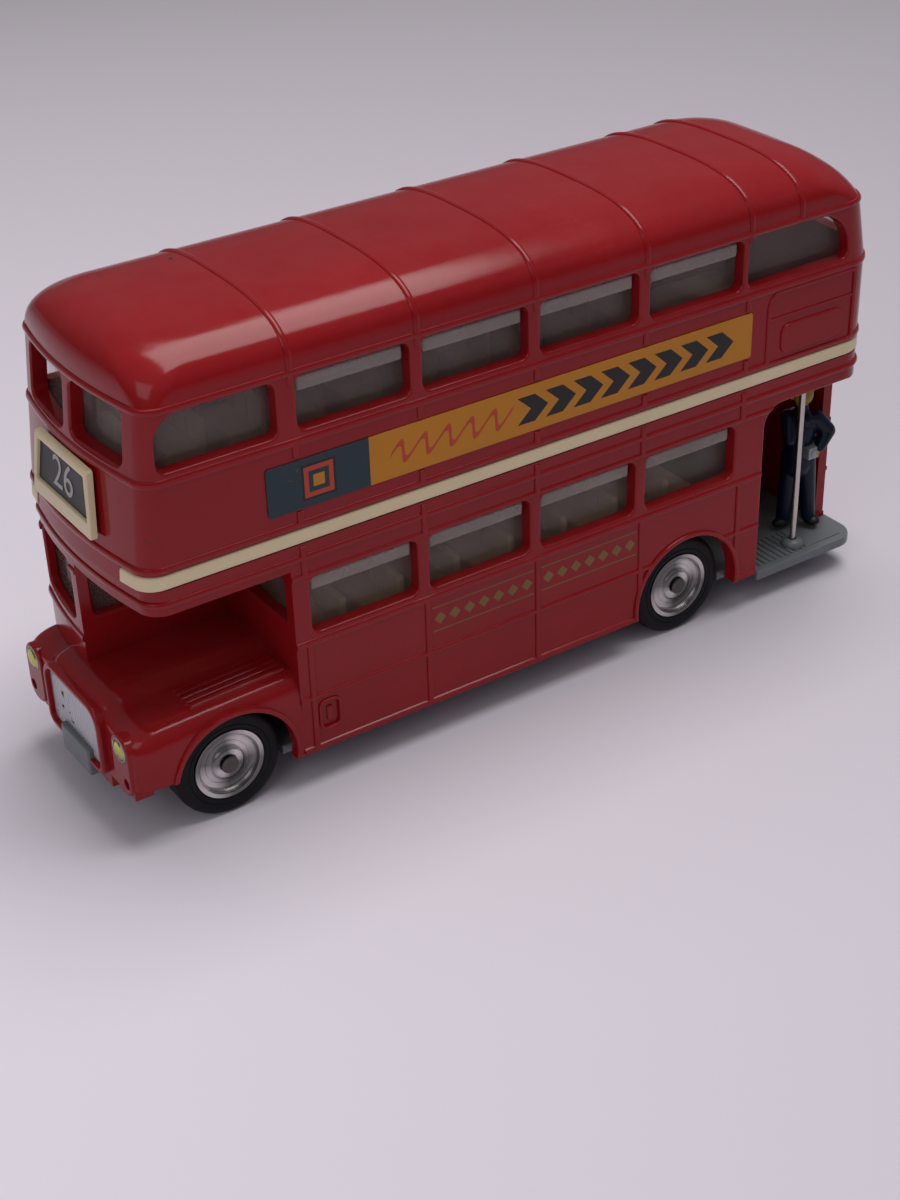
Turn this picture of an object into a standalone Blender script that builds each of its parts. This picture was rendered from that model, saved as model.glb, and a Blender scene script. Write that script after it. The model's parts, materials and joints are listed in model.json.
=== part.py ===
"""Toy double-deck bus with a half cab, an open rear platform and free-rolling wheels.

The casting, its clear and cream mouldings, the base with its platform, the figures and the
running gear are separate closed solids. Units are metres, +Z is up, the floor is at Z = 0, the
front of the bus points to -X and its nearside, with the platform, to -Y.
"""

import math

import bmesh
import bpy
from mathutils import Matrix, Vector

MM = 0.001

# Overall size
LENGTH = 115.0 * MM
HALF_WIDTH = 15.8 * MM
FRONT_X = -LENGTH / 2
REAR_X = LENGTH / 2
WALL = 1.8 * MM
SEAM = 0.1 * MM

# Bays along the sides, from the pillar behind the half cab to the one ahead of the platform
PLATFORM_LENGTH = 19.2 * MM
PLATFORM_FRONT_X = REAR_X - PLATFORM_LENGTH
FIRST_PILLAR_X = FRONT_X + 24.5 * MM
LAST_PILLAR_X = PLATFORM_FRONT_X - 4.5 * MM
BAY_COUNT = 4
BAY_PITCH = (LAST_PILLAR_X - FIRST_PILLAR_X) / BAY_COUNT
PILLAR_WIDTH = 1.7 * MM
WINDOW_LENGTH = BAY_PITCH - PILLAR_WIDTH
WINDOW_ROUND = 1.1 * MM
FIRST_WINDOW_SHIFT = 0.9 * MM
QUARTER_WINDOW_SHIFT = 0.25 * MM
QUARTER_WINDOW_LENGTH = WINDOW_LENGTH + 2.1 * MM
QUARTER_WINDOW_ROUND = 5.5 * MM
END_PANE_INNER_Y = 0.9 * MM
FRONT_EDGE = 0.5 * MM
CAB_SILL_RISE = 0.6 * MM
INNER_SILL_RISE = 1.4 * MM
PILLAR_BEAD = 0.8 * MM
BEAD_PROUD = 0.25 * MM

# Heights of the lower deck above the floor
SKIRT_Z = 5.1 * MM
MID_BEAD_Z = 12.8 * MM
LOWER_BELT_Z = 20.6 * MM
LOWER_WINDOW_Z = 21.7 * MM
LOWER_WINDOW_HEIGHT = 7.6 * MM
CANT_BEAD_Z = 29.9 * MM
FRIEZE_UNDERSIDE_Z = 31.0 * MM
FRIEZE_BEAD_Z = 32.4 * MM
LOWER_TOP_Z = 34.2 * MM

# Heights of the cream deck moulding and the upper deck
BAND_HEIGHT = 1.85 * MM
UPPER_BELT_Z = 47.3 * MM
UPPER_WINDOW_Z = 48.4 * MM
UPPER_WINDOW_HEIGHT = 6.7 * MM
DRIP_Z = 56.1 * MM
CROWN_RISE = 6.4 * MM

# Plan of the upper deck: bowed, leaning front and domed rear
FRONT_OVERHANG = 3.2 * MM
FRONT_LEAN = 2.1 * MM
FRONT_BOW = 1.9 * MM
REAR_BOW = 0.8 * MM
FRONT_CORNER = 2.2 * MM
REAR_CORNER = 4.0 * MM
DOME_CORNER = 5.0 * MM
ROOF_POWER = 2.8
FRONT_DOME = 8.0 * MM
REAR_DOME = 14.0 * MM
REAR_DOME_POWER = 2.3
REAR_SET_IN = 0.5 * MM
DOME_STEPS = 6
CORNER_STEPS = 4
EDGE_STEPS = 4
WINDOW_STEPS = 3

# Half cab, bulkhead and bonnet
BULKHEAD_X = FIRST_PILLAR_X - 1.4 * MM
BULKHEAD_THICKNESS = 1.6 * MM
CAB_SIDE_Y = 1.1 * MM
CAB_SIDE_WALL = 1.2 * MM
CAB_FRONT_WALL = 1.2 * MM
CAB_FLOOR_Z = 17.2 * MM
BONNET_TOP_Z = 17.4 * MM
BONNET_HALF = 6.2 * MM
WING_TOP_Z = 15.6 * MM
WING_RISE = 1.0 * MM
BONNET_WALL = 1.2 * MM
NOSE_LENGTH = 4.2 * MM
NOSE_SETBACK = 1.1 * MM
NOSE_ROUND = 1.5 * MM
NOSE_WALL = 2.4 * MM
NOSE_X = FRONT_X + NOSE_SETBACK
GRILLE_HALF = 7.0 * MM
GRILLE_Z = 7.3 * MM
GRILLE_HEIGHT = 8.0 * MM
GRILLE_ROUNDS = (1.0 * MM, 1.0 * MM, 2.0 * MM, 2.0 * MM)
GRILLE_DEPTH = 0.7 * MM
LAMP_Y = HALF_WIDTH - 3.7 * MM
LAMP_Z = 13.2 * MM
LAMP_RADIUS = 1.5 * MM
LAMP_DEPTH = 1.2 * MM
LAMP_POD_HALF = 2.3 * MM
LAMP_POD_FOOT_Z = 6.9 * MM
LAMP_POD_HEAD_Z = 15.1 * MM
LAMP_POD_REACH = 2.2 * MM
LAMP_POD_PROUD = 0.35 * MM
GRILLE_PROUD = 0.95 * MM
WING_FOOT_Z = 8.4 * MM
LOUVRE_COUNT = 5
LOUVRE_INSET = 0.4 * MM
LOUVRE_LENGTH = 13.0 * MM
LOUVRE_PITCH = 1.05 * MM
LOUVRE_WIDTH = 0.35 * MM
LOUVRE_Y = -8.8 * MM
GRILLE_RIM = 0.8 * MM
SIDE_LIGHT_Z = 8.8 * MM
SIDE_LIGHT_RADIUS = 0.7 * MM
SIDE_LIGHT_OFFSET = 1.0 * MM
LAMP_SEGMENTS = 20
JEWEL_SIDES = 10
JEWEL_RISE = 0.4 * MM

# Small framed flap on the side behind the front wheel
FLAP_INSET = 1.3 * MM
FLAP_LENGTH = 2.4 * MM
FLAP_HEIGHT = 3.6 * MM
FLAP_Z = 8.0 * MM
FLAP_DEPTH = 0.2 * MM
FLAP_RIM = 0.4 * MM
FLAP_PROUD = 0.3 * MM
FLAP_ROUND = 0.6 * MM

# Open platform
PLATFORM_HEAD_Z = 30.4 * MM
PLATFORM_ROUND = 3.0 * MM
REAR_WALL_Y = 6.5 * MM - HALF_WIDTH
PLATFORM_THICKNESS = 1.4 * MM
PLATFORM_CORNER = 3.2 * MM
TREAD_RIB = 0.45 * MM
TREAD_RIB_COUNT = 9
POLE_X = REAR_X - 10.0 * MM
POLE_Y = 2.8 * MM - HALF_WIDTH
POLE_RADIUS = 0.45 * MM
POLE_CUP = 1.3 * MM
POLE_CUP_HEIGHT = 0.7 * MM

# Running gear
TYRE_RADIUS = 7.1 * MM
TYRE_WIDTH = 4.6 * MM
TYRE_ROUND = 0.9 * MM
HUB_RADIUS = 4.7 * MM
HUB_OUTER_Y = HALF_WIDTH - 1.2 * MM
HUB_WIDTH = 4.4 * MM
HUB_DISH = 0.9 * MM
HUB_BOSS = 1.6 * MM
TYRE_FIT = 0.05 * MM
AXLE_RADIUS = 0.8 * MM
AXLE_HEAD = 1.15 * MM
AXLE_HEAD_THICKNESS = 0.35 * MM
RUNNING_FIT = 0.06 * MM
SIDE_PLAY = 0.15 * MM
FRONT_AXLE_X = FRONT_X + 13.5 * MM
REAR_AXLE_X = PLATFORM_FRONT_X - 13.1 * MM
AXLE_Z = TYRE_RADIUS
FRONT_ARCH_RADIUS = TYRE_RADIUS + 0.9 * MM
REAR_ARCH_RADIUS = TYRE_RADIUS + 1.3 * MM
ARCH_SET_BACK = 0.5 * MM
ARCH_LIP = 0.7 * MM
ARCH_PROUD = 0.35 * MM
WHEEL_SEGMENTS = 32
PIN_SEGMENTS = 20

# Base
BASE_Z = 4.7 * MM
BASE_THICKNESS = 1.3 * MM
BASE_FIT = 0.25 * MM
BUMPER_HALF = 3.9 * MM
BUMPER_Z = 5.0 * MM
BUMPER_HEIGHT = 3.5 * MM
BUMPER_DEPTH = 1.4 * MM
LUG_Y = HUB_OUTER_Y - 7.2 * MM
LUG_WIDTH = 1.6 * MM
LUG_LENGTH = 4.4 * MM
LUG_CAP = 1.2 * MM
RIVET_X = (FIRST_PILLAR_X + 12.0 * MM, LAST_PILLAR_X - 24.8 * MM)
RIVET_RADIUS = 0.9 * MM
RIVET_HEAD = 1.9 * MM
RIVET_HEAD_THICKNESS = 0.5 * MM
RIVET_SEAT = RIVET_HEAD_THICKNESS + 2 * SEAM
BOSS_RADIUS = 2.2 * MM

# Clear mouldings
GLASS_THICKNESS = 0.8 * MM
GLASS_FIT = 0.15 * MM
HOPPER_HEIGHT = 1.5 * MM
HOPPER_PROUD = 1.1 * MM
HOPPER_INSET = 0.5 * MM

# Seats
SEAT_PITCH = BAY_PITCH / 2
SEAT_DEPTH = 4.2 * MM
SEAT_HEIGHT = 3.2 * MM
SEAT_BACK_HEIGHT = 6.6 * MM
SEAT_BACK_THICKNESS = 1.1 * MM
BENCH_FIT = 0.4 * MM
GANGWAY_HALF = 4.2 * MM
UPPER_SEAT_ROWS = 10
LOWER_SEAT_ROWS = 7
LOWER_FLOOR_Z = 15.2 * MM
LOWER_FLOOR_THICKNESS = 1.0 * MM
STAIR_STEPS = 5
STAIR_WIDTH = 6.0 * MM
STAIR_RISE = 2.8 * MM
STAIR_X = REAR_AXLE_X + TYRE_RADIUS + 2.0 * MM
SALOON_HALF = HALF_WIDTH - WALL - GLASS_FIT * 2 - GLASS_THICKNESS

# Destination box and paper labels
BOX_TOP_HALF = 6.9 * MM
BOX_BOTTOM_HALF = 7.7 * MM
BOX_Z = 38.4 * MM
BOX_HEIGHT = 8.1 * MM
BOX_DEPTH = 1.0 * MM
BOX_RIM = 0.9 * MM
BOX_SILL = 1.9 * MM
BLIND_RECESS = 0.5 * MM
PAPER = 0.12 * MM
PAPER_GAP = 0.05 * MM
APRON_HALF = HALF_WIDTH - 4.8 * MM
APRON_DEPTH = 1.6 * MM
ADVERT_LENGTH = 71.6 * MM
ADVERT_HEIGHT = 6.2 * MM
ADVERT_X = -0.9 * MM
ADVERT_Z = 41.9 * MM

# Figures
CONDUCTOR_X = REAR_X - 6.2 * MM
CONDUCTOR_Y = 6.7 * MM - HALF_WIDTH
CONDUCTOR_HEIGHT = 23.6 * MM
DRIVER_X = BULKHEAD_X - 8.1 * MM
DRIVER_Y = HALF_WIDTH - 8.2 * MM
DRIVER_HEIGHT = 11.8 * MM

# Heights and places that follow from the sizes above
BAND_Z = LOWER_TOP_Z + SEAM
UPPER_BASE_Z = BAND_Z + BAND_HEIGHT + SEAM
ROOF_Z = DRIP_Z + CROWN_RISE
BAND_FRONT_X = FRONT_X + FRONT_OVERHANG
PLATFORM_TOP_Z = SKIRT_Z - SEAM
BEYOND = 10.0 * MM

PAINT_RED = (0.42, 0.022, 0.026, 1.0)
CREAM = (0.78, 0.72, 0.52, 1.0)
SEAT_CREAM = (0.55, 0.45, 0.22, 1.0)
BASE_GREY = (0.28, 0.31, 0.33, 1.0)
CLEAR = (0.62, 0.64, 0.62, 1.0)
NAVY = (0.02, 0.035, 0.09, 1.0)


def clear_scene():
    """Remove every object that the file holds."""
    for item in list(bpy.data.objects):
        bpy.data.objects.remove(item, do_unlink=True)


def material(name, colour, roughness, metallic=0.0):
    """Make one plain surface."""
    surface = bpy.data.materials.new(name)
    surface.use_nodes = True
    shader = surface.node_tree.nodes["Principled BSDF"]
    shader.inputs["Base Color"].default_value = colour
    shader.inputs["Roughness"].default_value = roughness
    shader.inputs["Metallic"].default_value = metallic
    surface.diffuse_color = colour
    return surface


def make_object(name, bm, surface=None):
    """Turn a bmesh into an object of the scene with outward faces."""
    bmesh.ops.recalc_face_normals(bm, faces=bm.faces)
    mesh = bpy.data.meshes.new(name)
    bm.to_mesh(mesh)
    bm.free()
    made = bpy.data.objects.new(name, mesh)
    bpy.context.scene.collection.objects.link(made)
    if surface:
        mesh.materials.append(surface)
    return made


def make_tool(name, bm):
    """Make a solid that only cuts or joins another one."""
    tool = make_object(name, bm)
    tool.hide_render = True
    tool.display_type = "WIRE"
    return tool


def combine(target, tool, operation):
    """Add one Boolean step to an object."""
    step = target.modifiers.new(tool.name, "BOOLEAN")
    step.operation = operation
    step.object = tool
    step.solver = "EXACT"


def cut(target, name, bm):
    """Take a shape away from an object."""
    combine(target, make_tool(name, bm), "DIFFERENCE")


def add(target, name, bm):
    """Join a shape to an object."""
    combine(target, make_tool(name, bm), "UNION")


def smooth(item, angle=35.0):
    """Shade an object smooth, with its sharp edges kept."""
    item.data.shade_smooth()
    item.data.set_sharp_from_angle(angle=math.radians(angle))


def loft(bm, loops):
    """Skin a stack of equal point loops and close both ends."""
    rings = [[bm.verts.new(point) for point in loop] for loop in loops]
    for lower, upper in zip(rings, rings[1:]):
        for index, corner in enumerate(lower):
            after = (index + 1) % len(lower)
            bm.faces.new((corner, lower[after], upper[after], upper[index]))
    bm.faces.new(list(reversed(rings[0])))
    bm.faces.new(rings[-1])
    return bm


def box(bm, x0, x1, y0, y1, z0, z1):
    """Add a box between six planes."""
    size = (x1 - x0, y1 - y0, z1 - z0)
    centre = ((x0 + x1) / 2, (y0 + y1) / 2, (z0 + z1) / 2)
    matrix = Matrix.Translation(centre) @ Matrix.Diagonal((*size, 1.0))
    bmesh.ops.create_cube(bm, size=1.0, matrix=matrix)
    return bm


def cylinder(bm, centre, radius, length, axis="Z", segments=24):
    """Add a cylinder centred on a point along one axis."""
    turns = {"X": Matrix.Rotation(math.pi / 2, 4, "Y"), "Y": Matrix.Rotation(math.pi / 2, 4, "X")}
    matrix = Matrix.Translation(centre) @ turns.get(axis, Matrix.Identity(4))
    bmesh.ops.create_cone(
        bm, cap_ends=True, segments=segments, radius1=radius, radius2=radius, depth=length, matrix=matrix
    )
    return bm


def rounded_rectangle(u0, u1, v0, v1, radii, steps=WINDOW_STEPS):
    """List the points of a rectangle with its own radius at each corner.

    The corners run counter-clockwise from (u0, v0).
    """
    corners = ((u0, v0, 1, 1), (u1, v0, -1, 1), (u1, v1, -1, -1), (u0, v1, 1, -1))
    points = []
    for index, ((u, v, su, sv), radius) in enumerate(zip(corners, radii)):
        start = math.pi + index * math.pi / 2
        for step in range(steps + 1):
            angle = start + step * math.pi / 2 / steps
            centre = (u + su * radius, v + sv * radius)
            points.append((centre[0] + radius * math.cos(angle), centre[1] + radius * math.sin(angle)))
    return points


def window_prism(bm, side, along, across, radii):
    """Add a rounded prism that cuts a window through walls facing Y or X.

    Args:
        side: "Y" for side windows, "X" for front and rear ones.
        along: The window's (u0, u1, v0, v1) seen square on.
        across: The two ends of the prism.
        radii: The radii of its four corners.
    """
    outline = rounded_rectangle(*along, radii)
    if side == "Y":
        loops = [[(u, depth, v) for u, v in outline] for depth in across]
    else:
        loops = [[(depth, u, v) for u, v in outline] for depth in across]
    return loft(bm, loops)


def plan(front, rear, half, front_radius, rear_radius, z, front_bow=FRONT_BOW, rear_bow=REAR_BOW):
    """List one level of the body's plan: bowed ends, straight sides, round corners."""
    points = []
    for side in (-1, 1):
        for step in range(CORNER_STEPS + 1):
            angle = step * math.pi / 2 / CORNER_STEPS
            if side < 0:
                x = rear - rear_radius + rear_radius * math.sin(angle)
                y = -half + rear_radius - rear_radius * math.cos(angle)
            else:
                x = rear - rear_radius + rear_radius * math.cos(angle)
                y = half - rear_radius + rear_radius * math.sin(angle)
            points.append((x - rear_bow * (y / half) ** 2, y, z))
        if side < 0:
            for step in range(1, EDGE_STEPS):
                y = (2 * step / EDGE_STEPS - 1) * (half - rear_radius)
                points.append((rear - rear_bow * (y / half) ** 2, y, z))
    for side in (1, -1):
        for step in range(CORNER_STEPS + 1):
            angle = step * math.pi / 2 / CORNER_STEPS
            if side > 0:
                x = front + front_radius - front_radius * math.sin(angle)
                y = half - front_radius + front_radius * math.cos(angle)
            else:
                x = front + front_radius - front_radius * math.cos(angle)
                y = -half + front_radius - front_radius * math.sin(angle)
            points.append((x + front_bow * (y / half) ** 2, y, z))
        if side > 0:
            for step in range(1, EDGE_STEPS):
                y = (1 - 2 * step / EDGE_STEPS) * (half - front_radius)
                points.append((front + front_bow * (y / half) ** 2, y, z))
    return points


def front_x(z):
    """Give the front of the upper deck at a height, which leans back as it rises."""
    rise = (z - BAND_Z) / (DRIP_Z - BAND_Z)
    return BAND_FRONT_X + FRONT_LEAN * rise


def rear_x(z, inset=0.0):
    """Give the rear of the upper deck at a height, domed above the belt."""
    rise = max(0.0, min(1.0, (z - UPPER_BELT_Z) / (ROOF_Z - inset - UPPER_BELT_Z)))
    fall = 1 - (1 - rise**REAR_DOME_POWER) ** (1 / REAR_DOME_POWER)
    return REAR_X - REAR_SET_IN - inset - REAR_DOME * fall


def body_level(z, inset=0.0):
    """List the body's plan at a height up to the drip rail, set in by an amount."""
    return plan(
        front_x(z) + inset,
        rear_x(z, inset),
        HALF_WIDTH - inset,
        max(FRONT_CORNER - inset, BEAD_PROUD),
        max(REAR_CORNER - inset, BEAD_PROUD),
        z,
    )


def dome_levels(inset=0.0):
    """List the roof's levels from just above the drip rail to the crown."""
    levels = []
    for step in range(1, DOME_STEPS + 1):
        angle = step / (DOME_STEPS + 1) * math.pi / 2
        width = math.cos(angle) ** (2 / ROOF_POWER)
        rise = math.sin(angle) ** (2 / ROOF_POWER)
        z = DRIP_Z + (CROWN_RISE - inset) * rise
        half = (HALF_WIDTH - inset) * width
        front_corner = min(FRONT_CORNER - inset / 2 + DOME_CORNER * rise, half / 2)
        rear_corner = min(REAR_CORNER - inset / 2 + DOME_CORNER * rise, half / 2)
        front = front_x(DRIP_Z) + inset + FRONT_DOME * (1 - width)
        bows = (FRONT_BOW * width, REAR_BOW * width)
        levels.append(plan(front, rear_x(z, inset), half, front_corner, rear_corner, z, *bows))
    return levels


def bead(centre, height, proud=BEAD_PROUD):
    """List the heights and set-outs that raise one level bead."""
    slope = proud
    return [
        (centre - height / 2 - slope, 0.0),
        (centre - height / 2, proud),
        (centre + height / 2, proud),
        (centre + height / 2 + slope, 0.0),
    ]


def pillar_x(index):
    """Give the place of a pillar, counted from the bulkhead."""
    return FIRST_PILLAR_X + index * BAY_PITCH


def bay_centre(index):
    """Give the middle of the bay behind a pillar."""
    return pillar_x(index) + (BAY_PITCH + PILLAR_BEAD / 2) / 2


def side_window(bm, centre, z, height, radii=(WINDOW_ROUND,) * 4, length=WINDOW_LENGTH):
    """Add one cutter that opens the same window in both sides."""
    along = (centre - length / 2, centre + length / 2, z, z + height)
    return window_prism(bm, "Y", along, (-HALF_WIDTH - BEYOND, HALF_WIDTH + BEYOND), radii)


def upper_glass_heights():
    """List the heights where the upper glazing and the hollow around it change their slope."""
    low = UPPER_BELT_Z + 0.4 * MM
    high = UPPER_WINDOW_Z + UPPER_WINDOW_HEIGHT + 0.6 * MM
    return (low, (low + high) / 2, high)


def build_upper_body(paint):
    """Build the upper casting: roof, window band and advert panels."""
    profile = [(BAND_Z, 0.0), (UPPER_BASE_Z, 0.0)]
    profile += bead(UPPER_BASE_Z + 0.6 * MM, 0.35 * MM)
    profile += bead(UPPER_BELT_Z, 0.5 * MM)
    profile += bead(DRIP_Z - 0.3 * MM, 0.3 * MM)
    bm = bmesh.new()
    loft(bm, [body_level(z, -out) for z, out in profile] + dome_levels())
    body = make_object("upper_body", bm, paint)

    ribs = bmesh.new()
    rib_places = [pillar_x(index) + PILLAR_BEAD / 2 for index in range(BAY_COUNT + 1)]
    rib_places.append(rib_places[-1] + 0.5 * BAY_PITCH)
    for place in rib_places:
        section = [(-HALF_WIDTH - BEAD_PROUD, DRIP_Z - WALL), (HALF_WIDTH + BEAD_PROUD, DRIP_Z - WALL)]
        for step in range(0, 2 * DOME_STEPS + 1):
            angle = step / (2 * DOME_STEPS) * math.pi
            side = 1 if math.cos(angle) >= 0 else -1
            y = side * (HALF_WIDTH + BEAD_PROUD) * abs(math.cos(angle)) ** (2 / ROOF_POWER)
            z = DRIP_Z + (CROWN_RISE + BEAD_PROUD) * math.sin(angle) ** (2 / ROOF_POWER)
            section.append((y, z))
        ends = (place - PILLAR_BEAD / 2, place + PILLAR_BEAD / 2)
        loft(ribs, [[(end, y, z) for y, z in section] for end in ends])
    add(body, "roof_rib_shapes", ribs)

    ticks = bmesh.new()
    for index in range(BAY_COUNT + 1):
        for low, high in (
            (UPPER_BASE_Z + 0.5 * MM, ADVERT_Z - ADVERT_HEIGHT / 2 - 0.3 * MM),
            (ADVERT_Z + ADVERT_HEIGHT / 2 + 0.3 * MM, UPPER_BELT_Z),
        ):
            box(
                ticks,
                pillar_x(index),
                pillar_x(index) + PILLAR_BEAD,
                -HALF_WIDTH - BEAD_PROUD,
                HALF_WIDTH + BEAD_PROUD,
                low,
                high,
            )
    add(body, "upper_tick_shapes", ticks)

    hollow = bmesh.new()
    heights = (BAND_Z - BEYOND, BAND_Z, *upper_glass_heights())
    loft(hollow, [body_level(z, WALL) for z in heights] + dome_levels(WALL))
    cut(body, "upper_hollow", hollow)

    windows = bmesh.new()
    first = bay_centre(-1) - FIRST_WINDOW_SHIFT
    first_radii = (WINDOW_ROUND, WINDOW_ROUND, WINDOW_ROUND, 3 * WINDOW_ROUND)
    side_window(windows, first, UPPER_WINDOW_Z, UPPER_WINDOW_HEIGHT, first_radii)
    for index in range(BAY_COUNT):
        side_window(windows, bay_centre(index), UPPER_WINDOW_Z, UPPER_WINDOW_HEIGHT)
    quarter_radii = (WINDOW_ROUND, WINDOW_ROUND, QUARTER_WINDOW_ROUND, WINDOW_ROUND)
    quarter = bay_centre(BAY_COUNT) + QUARTER_WINDOW_SHIFT
    quarter_size = (UPPER_WINDOW_HEIGHT, quarter_radii, QUARTER_WINDOW_LENGTH)
    side_window(windows, quarter, UPPER_WINDOW_Z, *quarter_size)
    for side in (-1, 1):
        inner = side * END_PANE_INNER_Y
        outer = side * (HALF_WIDTH - WALL - FRONT_CORNER)
        across = (min(inner, outer), max(inner, outer), UPPER_WINDOW_Z, UPPER_WINDOW_Z + UPPER_WINDOW_HEIGHT)
        front_reach = (FRONT_X - BEYOND, first - WINDOW_LENGTH / 2 - FRONT_EDGE)
        window_prism(windows, "X", across, front_reach, (WINDOW_ROUND,) * 4)
        across = (across[0], across[1], across[2] + WINDOW_ROUND, across[3])
        rear_reach = (quarter + QUARTER_WINDOW_LENGTH / 2 + FRONT_EDGE, REAR_X + BEYOND)
        window_prism(windows, "X", across, rear_reach, (WINDOW_ROUND,) * 4)
    cut(body, "upper_window_shapes", windows)

    foot = bmesh.new()
    apron_x = BAND_FRONT_X + APRON_DEPTH
    box(foot, apron_x, REAR_X + BEYOND, -2 * HALF_WIDTH, 2 * HALF_WIDTH, BAND_Z - BEYOND, UPPER_BASE_Z)
    cut(body, "upper_foot", foot)
    corners = bmesh.new()
    for side in (-1, 1):
        reach = sorted((side * APRON_HALF, side * 2 * HALF_WIDTH))
        box(corners, FRONT_X - BEYOND, apron_x + WALL, *reach, BAND_Z - BEYOND, UPPER_BASE_Z)
    cut(body, "upper_foot_corners", corners)
    smooth(body)
    return body


def wing_top(x):
    """Give the height of the wings at a place, which rise towards the bulkhead."""
    return WING_TOP_Z + WING_RISE * (x - NOSE_X) / (BULKHEAD_X - NOSE_X)


def bonnet_section(x, inset):
    """List the bonnet and wings at a place, from the nearside skirt round to the other."""
    top = wing_top(x)
    half = [
        (HALF_WIDTH, SKIRT_Z),
        (HALF_WIDTH, top - 4.2 * MM),
        (HALF_WIDTH - 0.3 * MM, top - 2.0 * MM),
        (HALF_WIDTH - 1.1 * MM, top - 0.5 * MM),
        (HALF_WIDTH - 2.5 * MM, top),
        (BONNET_HALF + 2.0 * MM, top),
        (BONNET_HALF + 0.5 * MM, BONNET_TOP_Z - 0.6 * MM),
        (BONNET_HALF - 0.8 * MM, BONNET_TOP_Z),
    ]
    scale = (HALF_WIDTH - inset) / HALF_WIDTH
    half = [(y * scale, max(z - inset, SKIRT_Z)) for y, z in half]
    return half + [(-y, z) for y, z in reversed(half)]


def build_bonnet():
    """Build the bonnet, wings and nose as one solid."""
    bm = bmesh.new()
    loops = []
    for step in range(CORNER_STEPS + 1):
        angle = step / CORNER_STEPS * math.pi / 2
        inset = NOSE_ROUND * (1 - math.sin(angle))
        place = NOSE_X + NOSE_LENGTH * (1 - math.cos(angle))
        loops.append([(place, y, z) for y, z in bonnet_section(place, inset)])
    end = BULKHEAD_X + WALL / 2
    loops.append([(end, y, z) for y, z in bonnet_section(end, 0.0)])
    loft(bm, loops)
    bmesh.ops.triangulate(bm, faces=[face for face in bm.faces if len(face.verts) == 4])
    return bm


def cab_outline(z, inset):
    """List the plan of the cab's room at a height, set in by an amount, with its bowed front."""
    near = CAB_SIDE_Y + CAB_SIDE_WALL + inset
    off = HALF_WIDTH - WALL - inset
    front = BAND_FRONT_X + 0.4 * MM + CAB_FRONT_WALL + inset
    points = [(BULKHEAD_X - inset, off, z), (BULKHEAD_X - inset, near, z)]
    for step in range(EDGE_STEPS + 1):
        y = near + (off - near) * step / EDGE_STEPS
        points.append((front + FRONT_BOW * (y / HALF_WIDTH) ** 2, y, z))
    return points


def flap_outline(rim):
    """Give the flap's (x0, x1, z0, z1), grown by its rim."""
    start = pillar_x(0) + FLAP_INSET
    return (start - rim, start + FLAP_LENGTH + rim, FLAP_Z - rim, FLAP_Z + FLAP_HEIGHT + rim)


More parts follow.
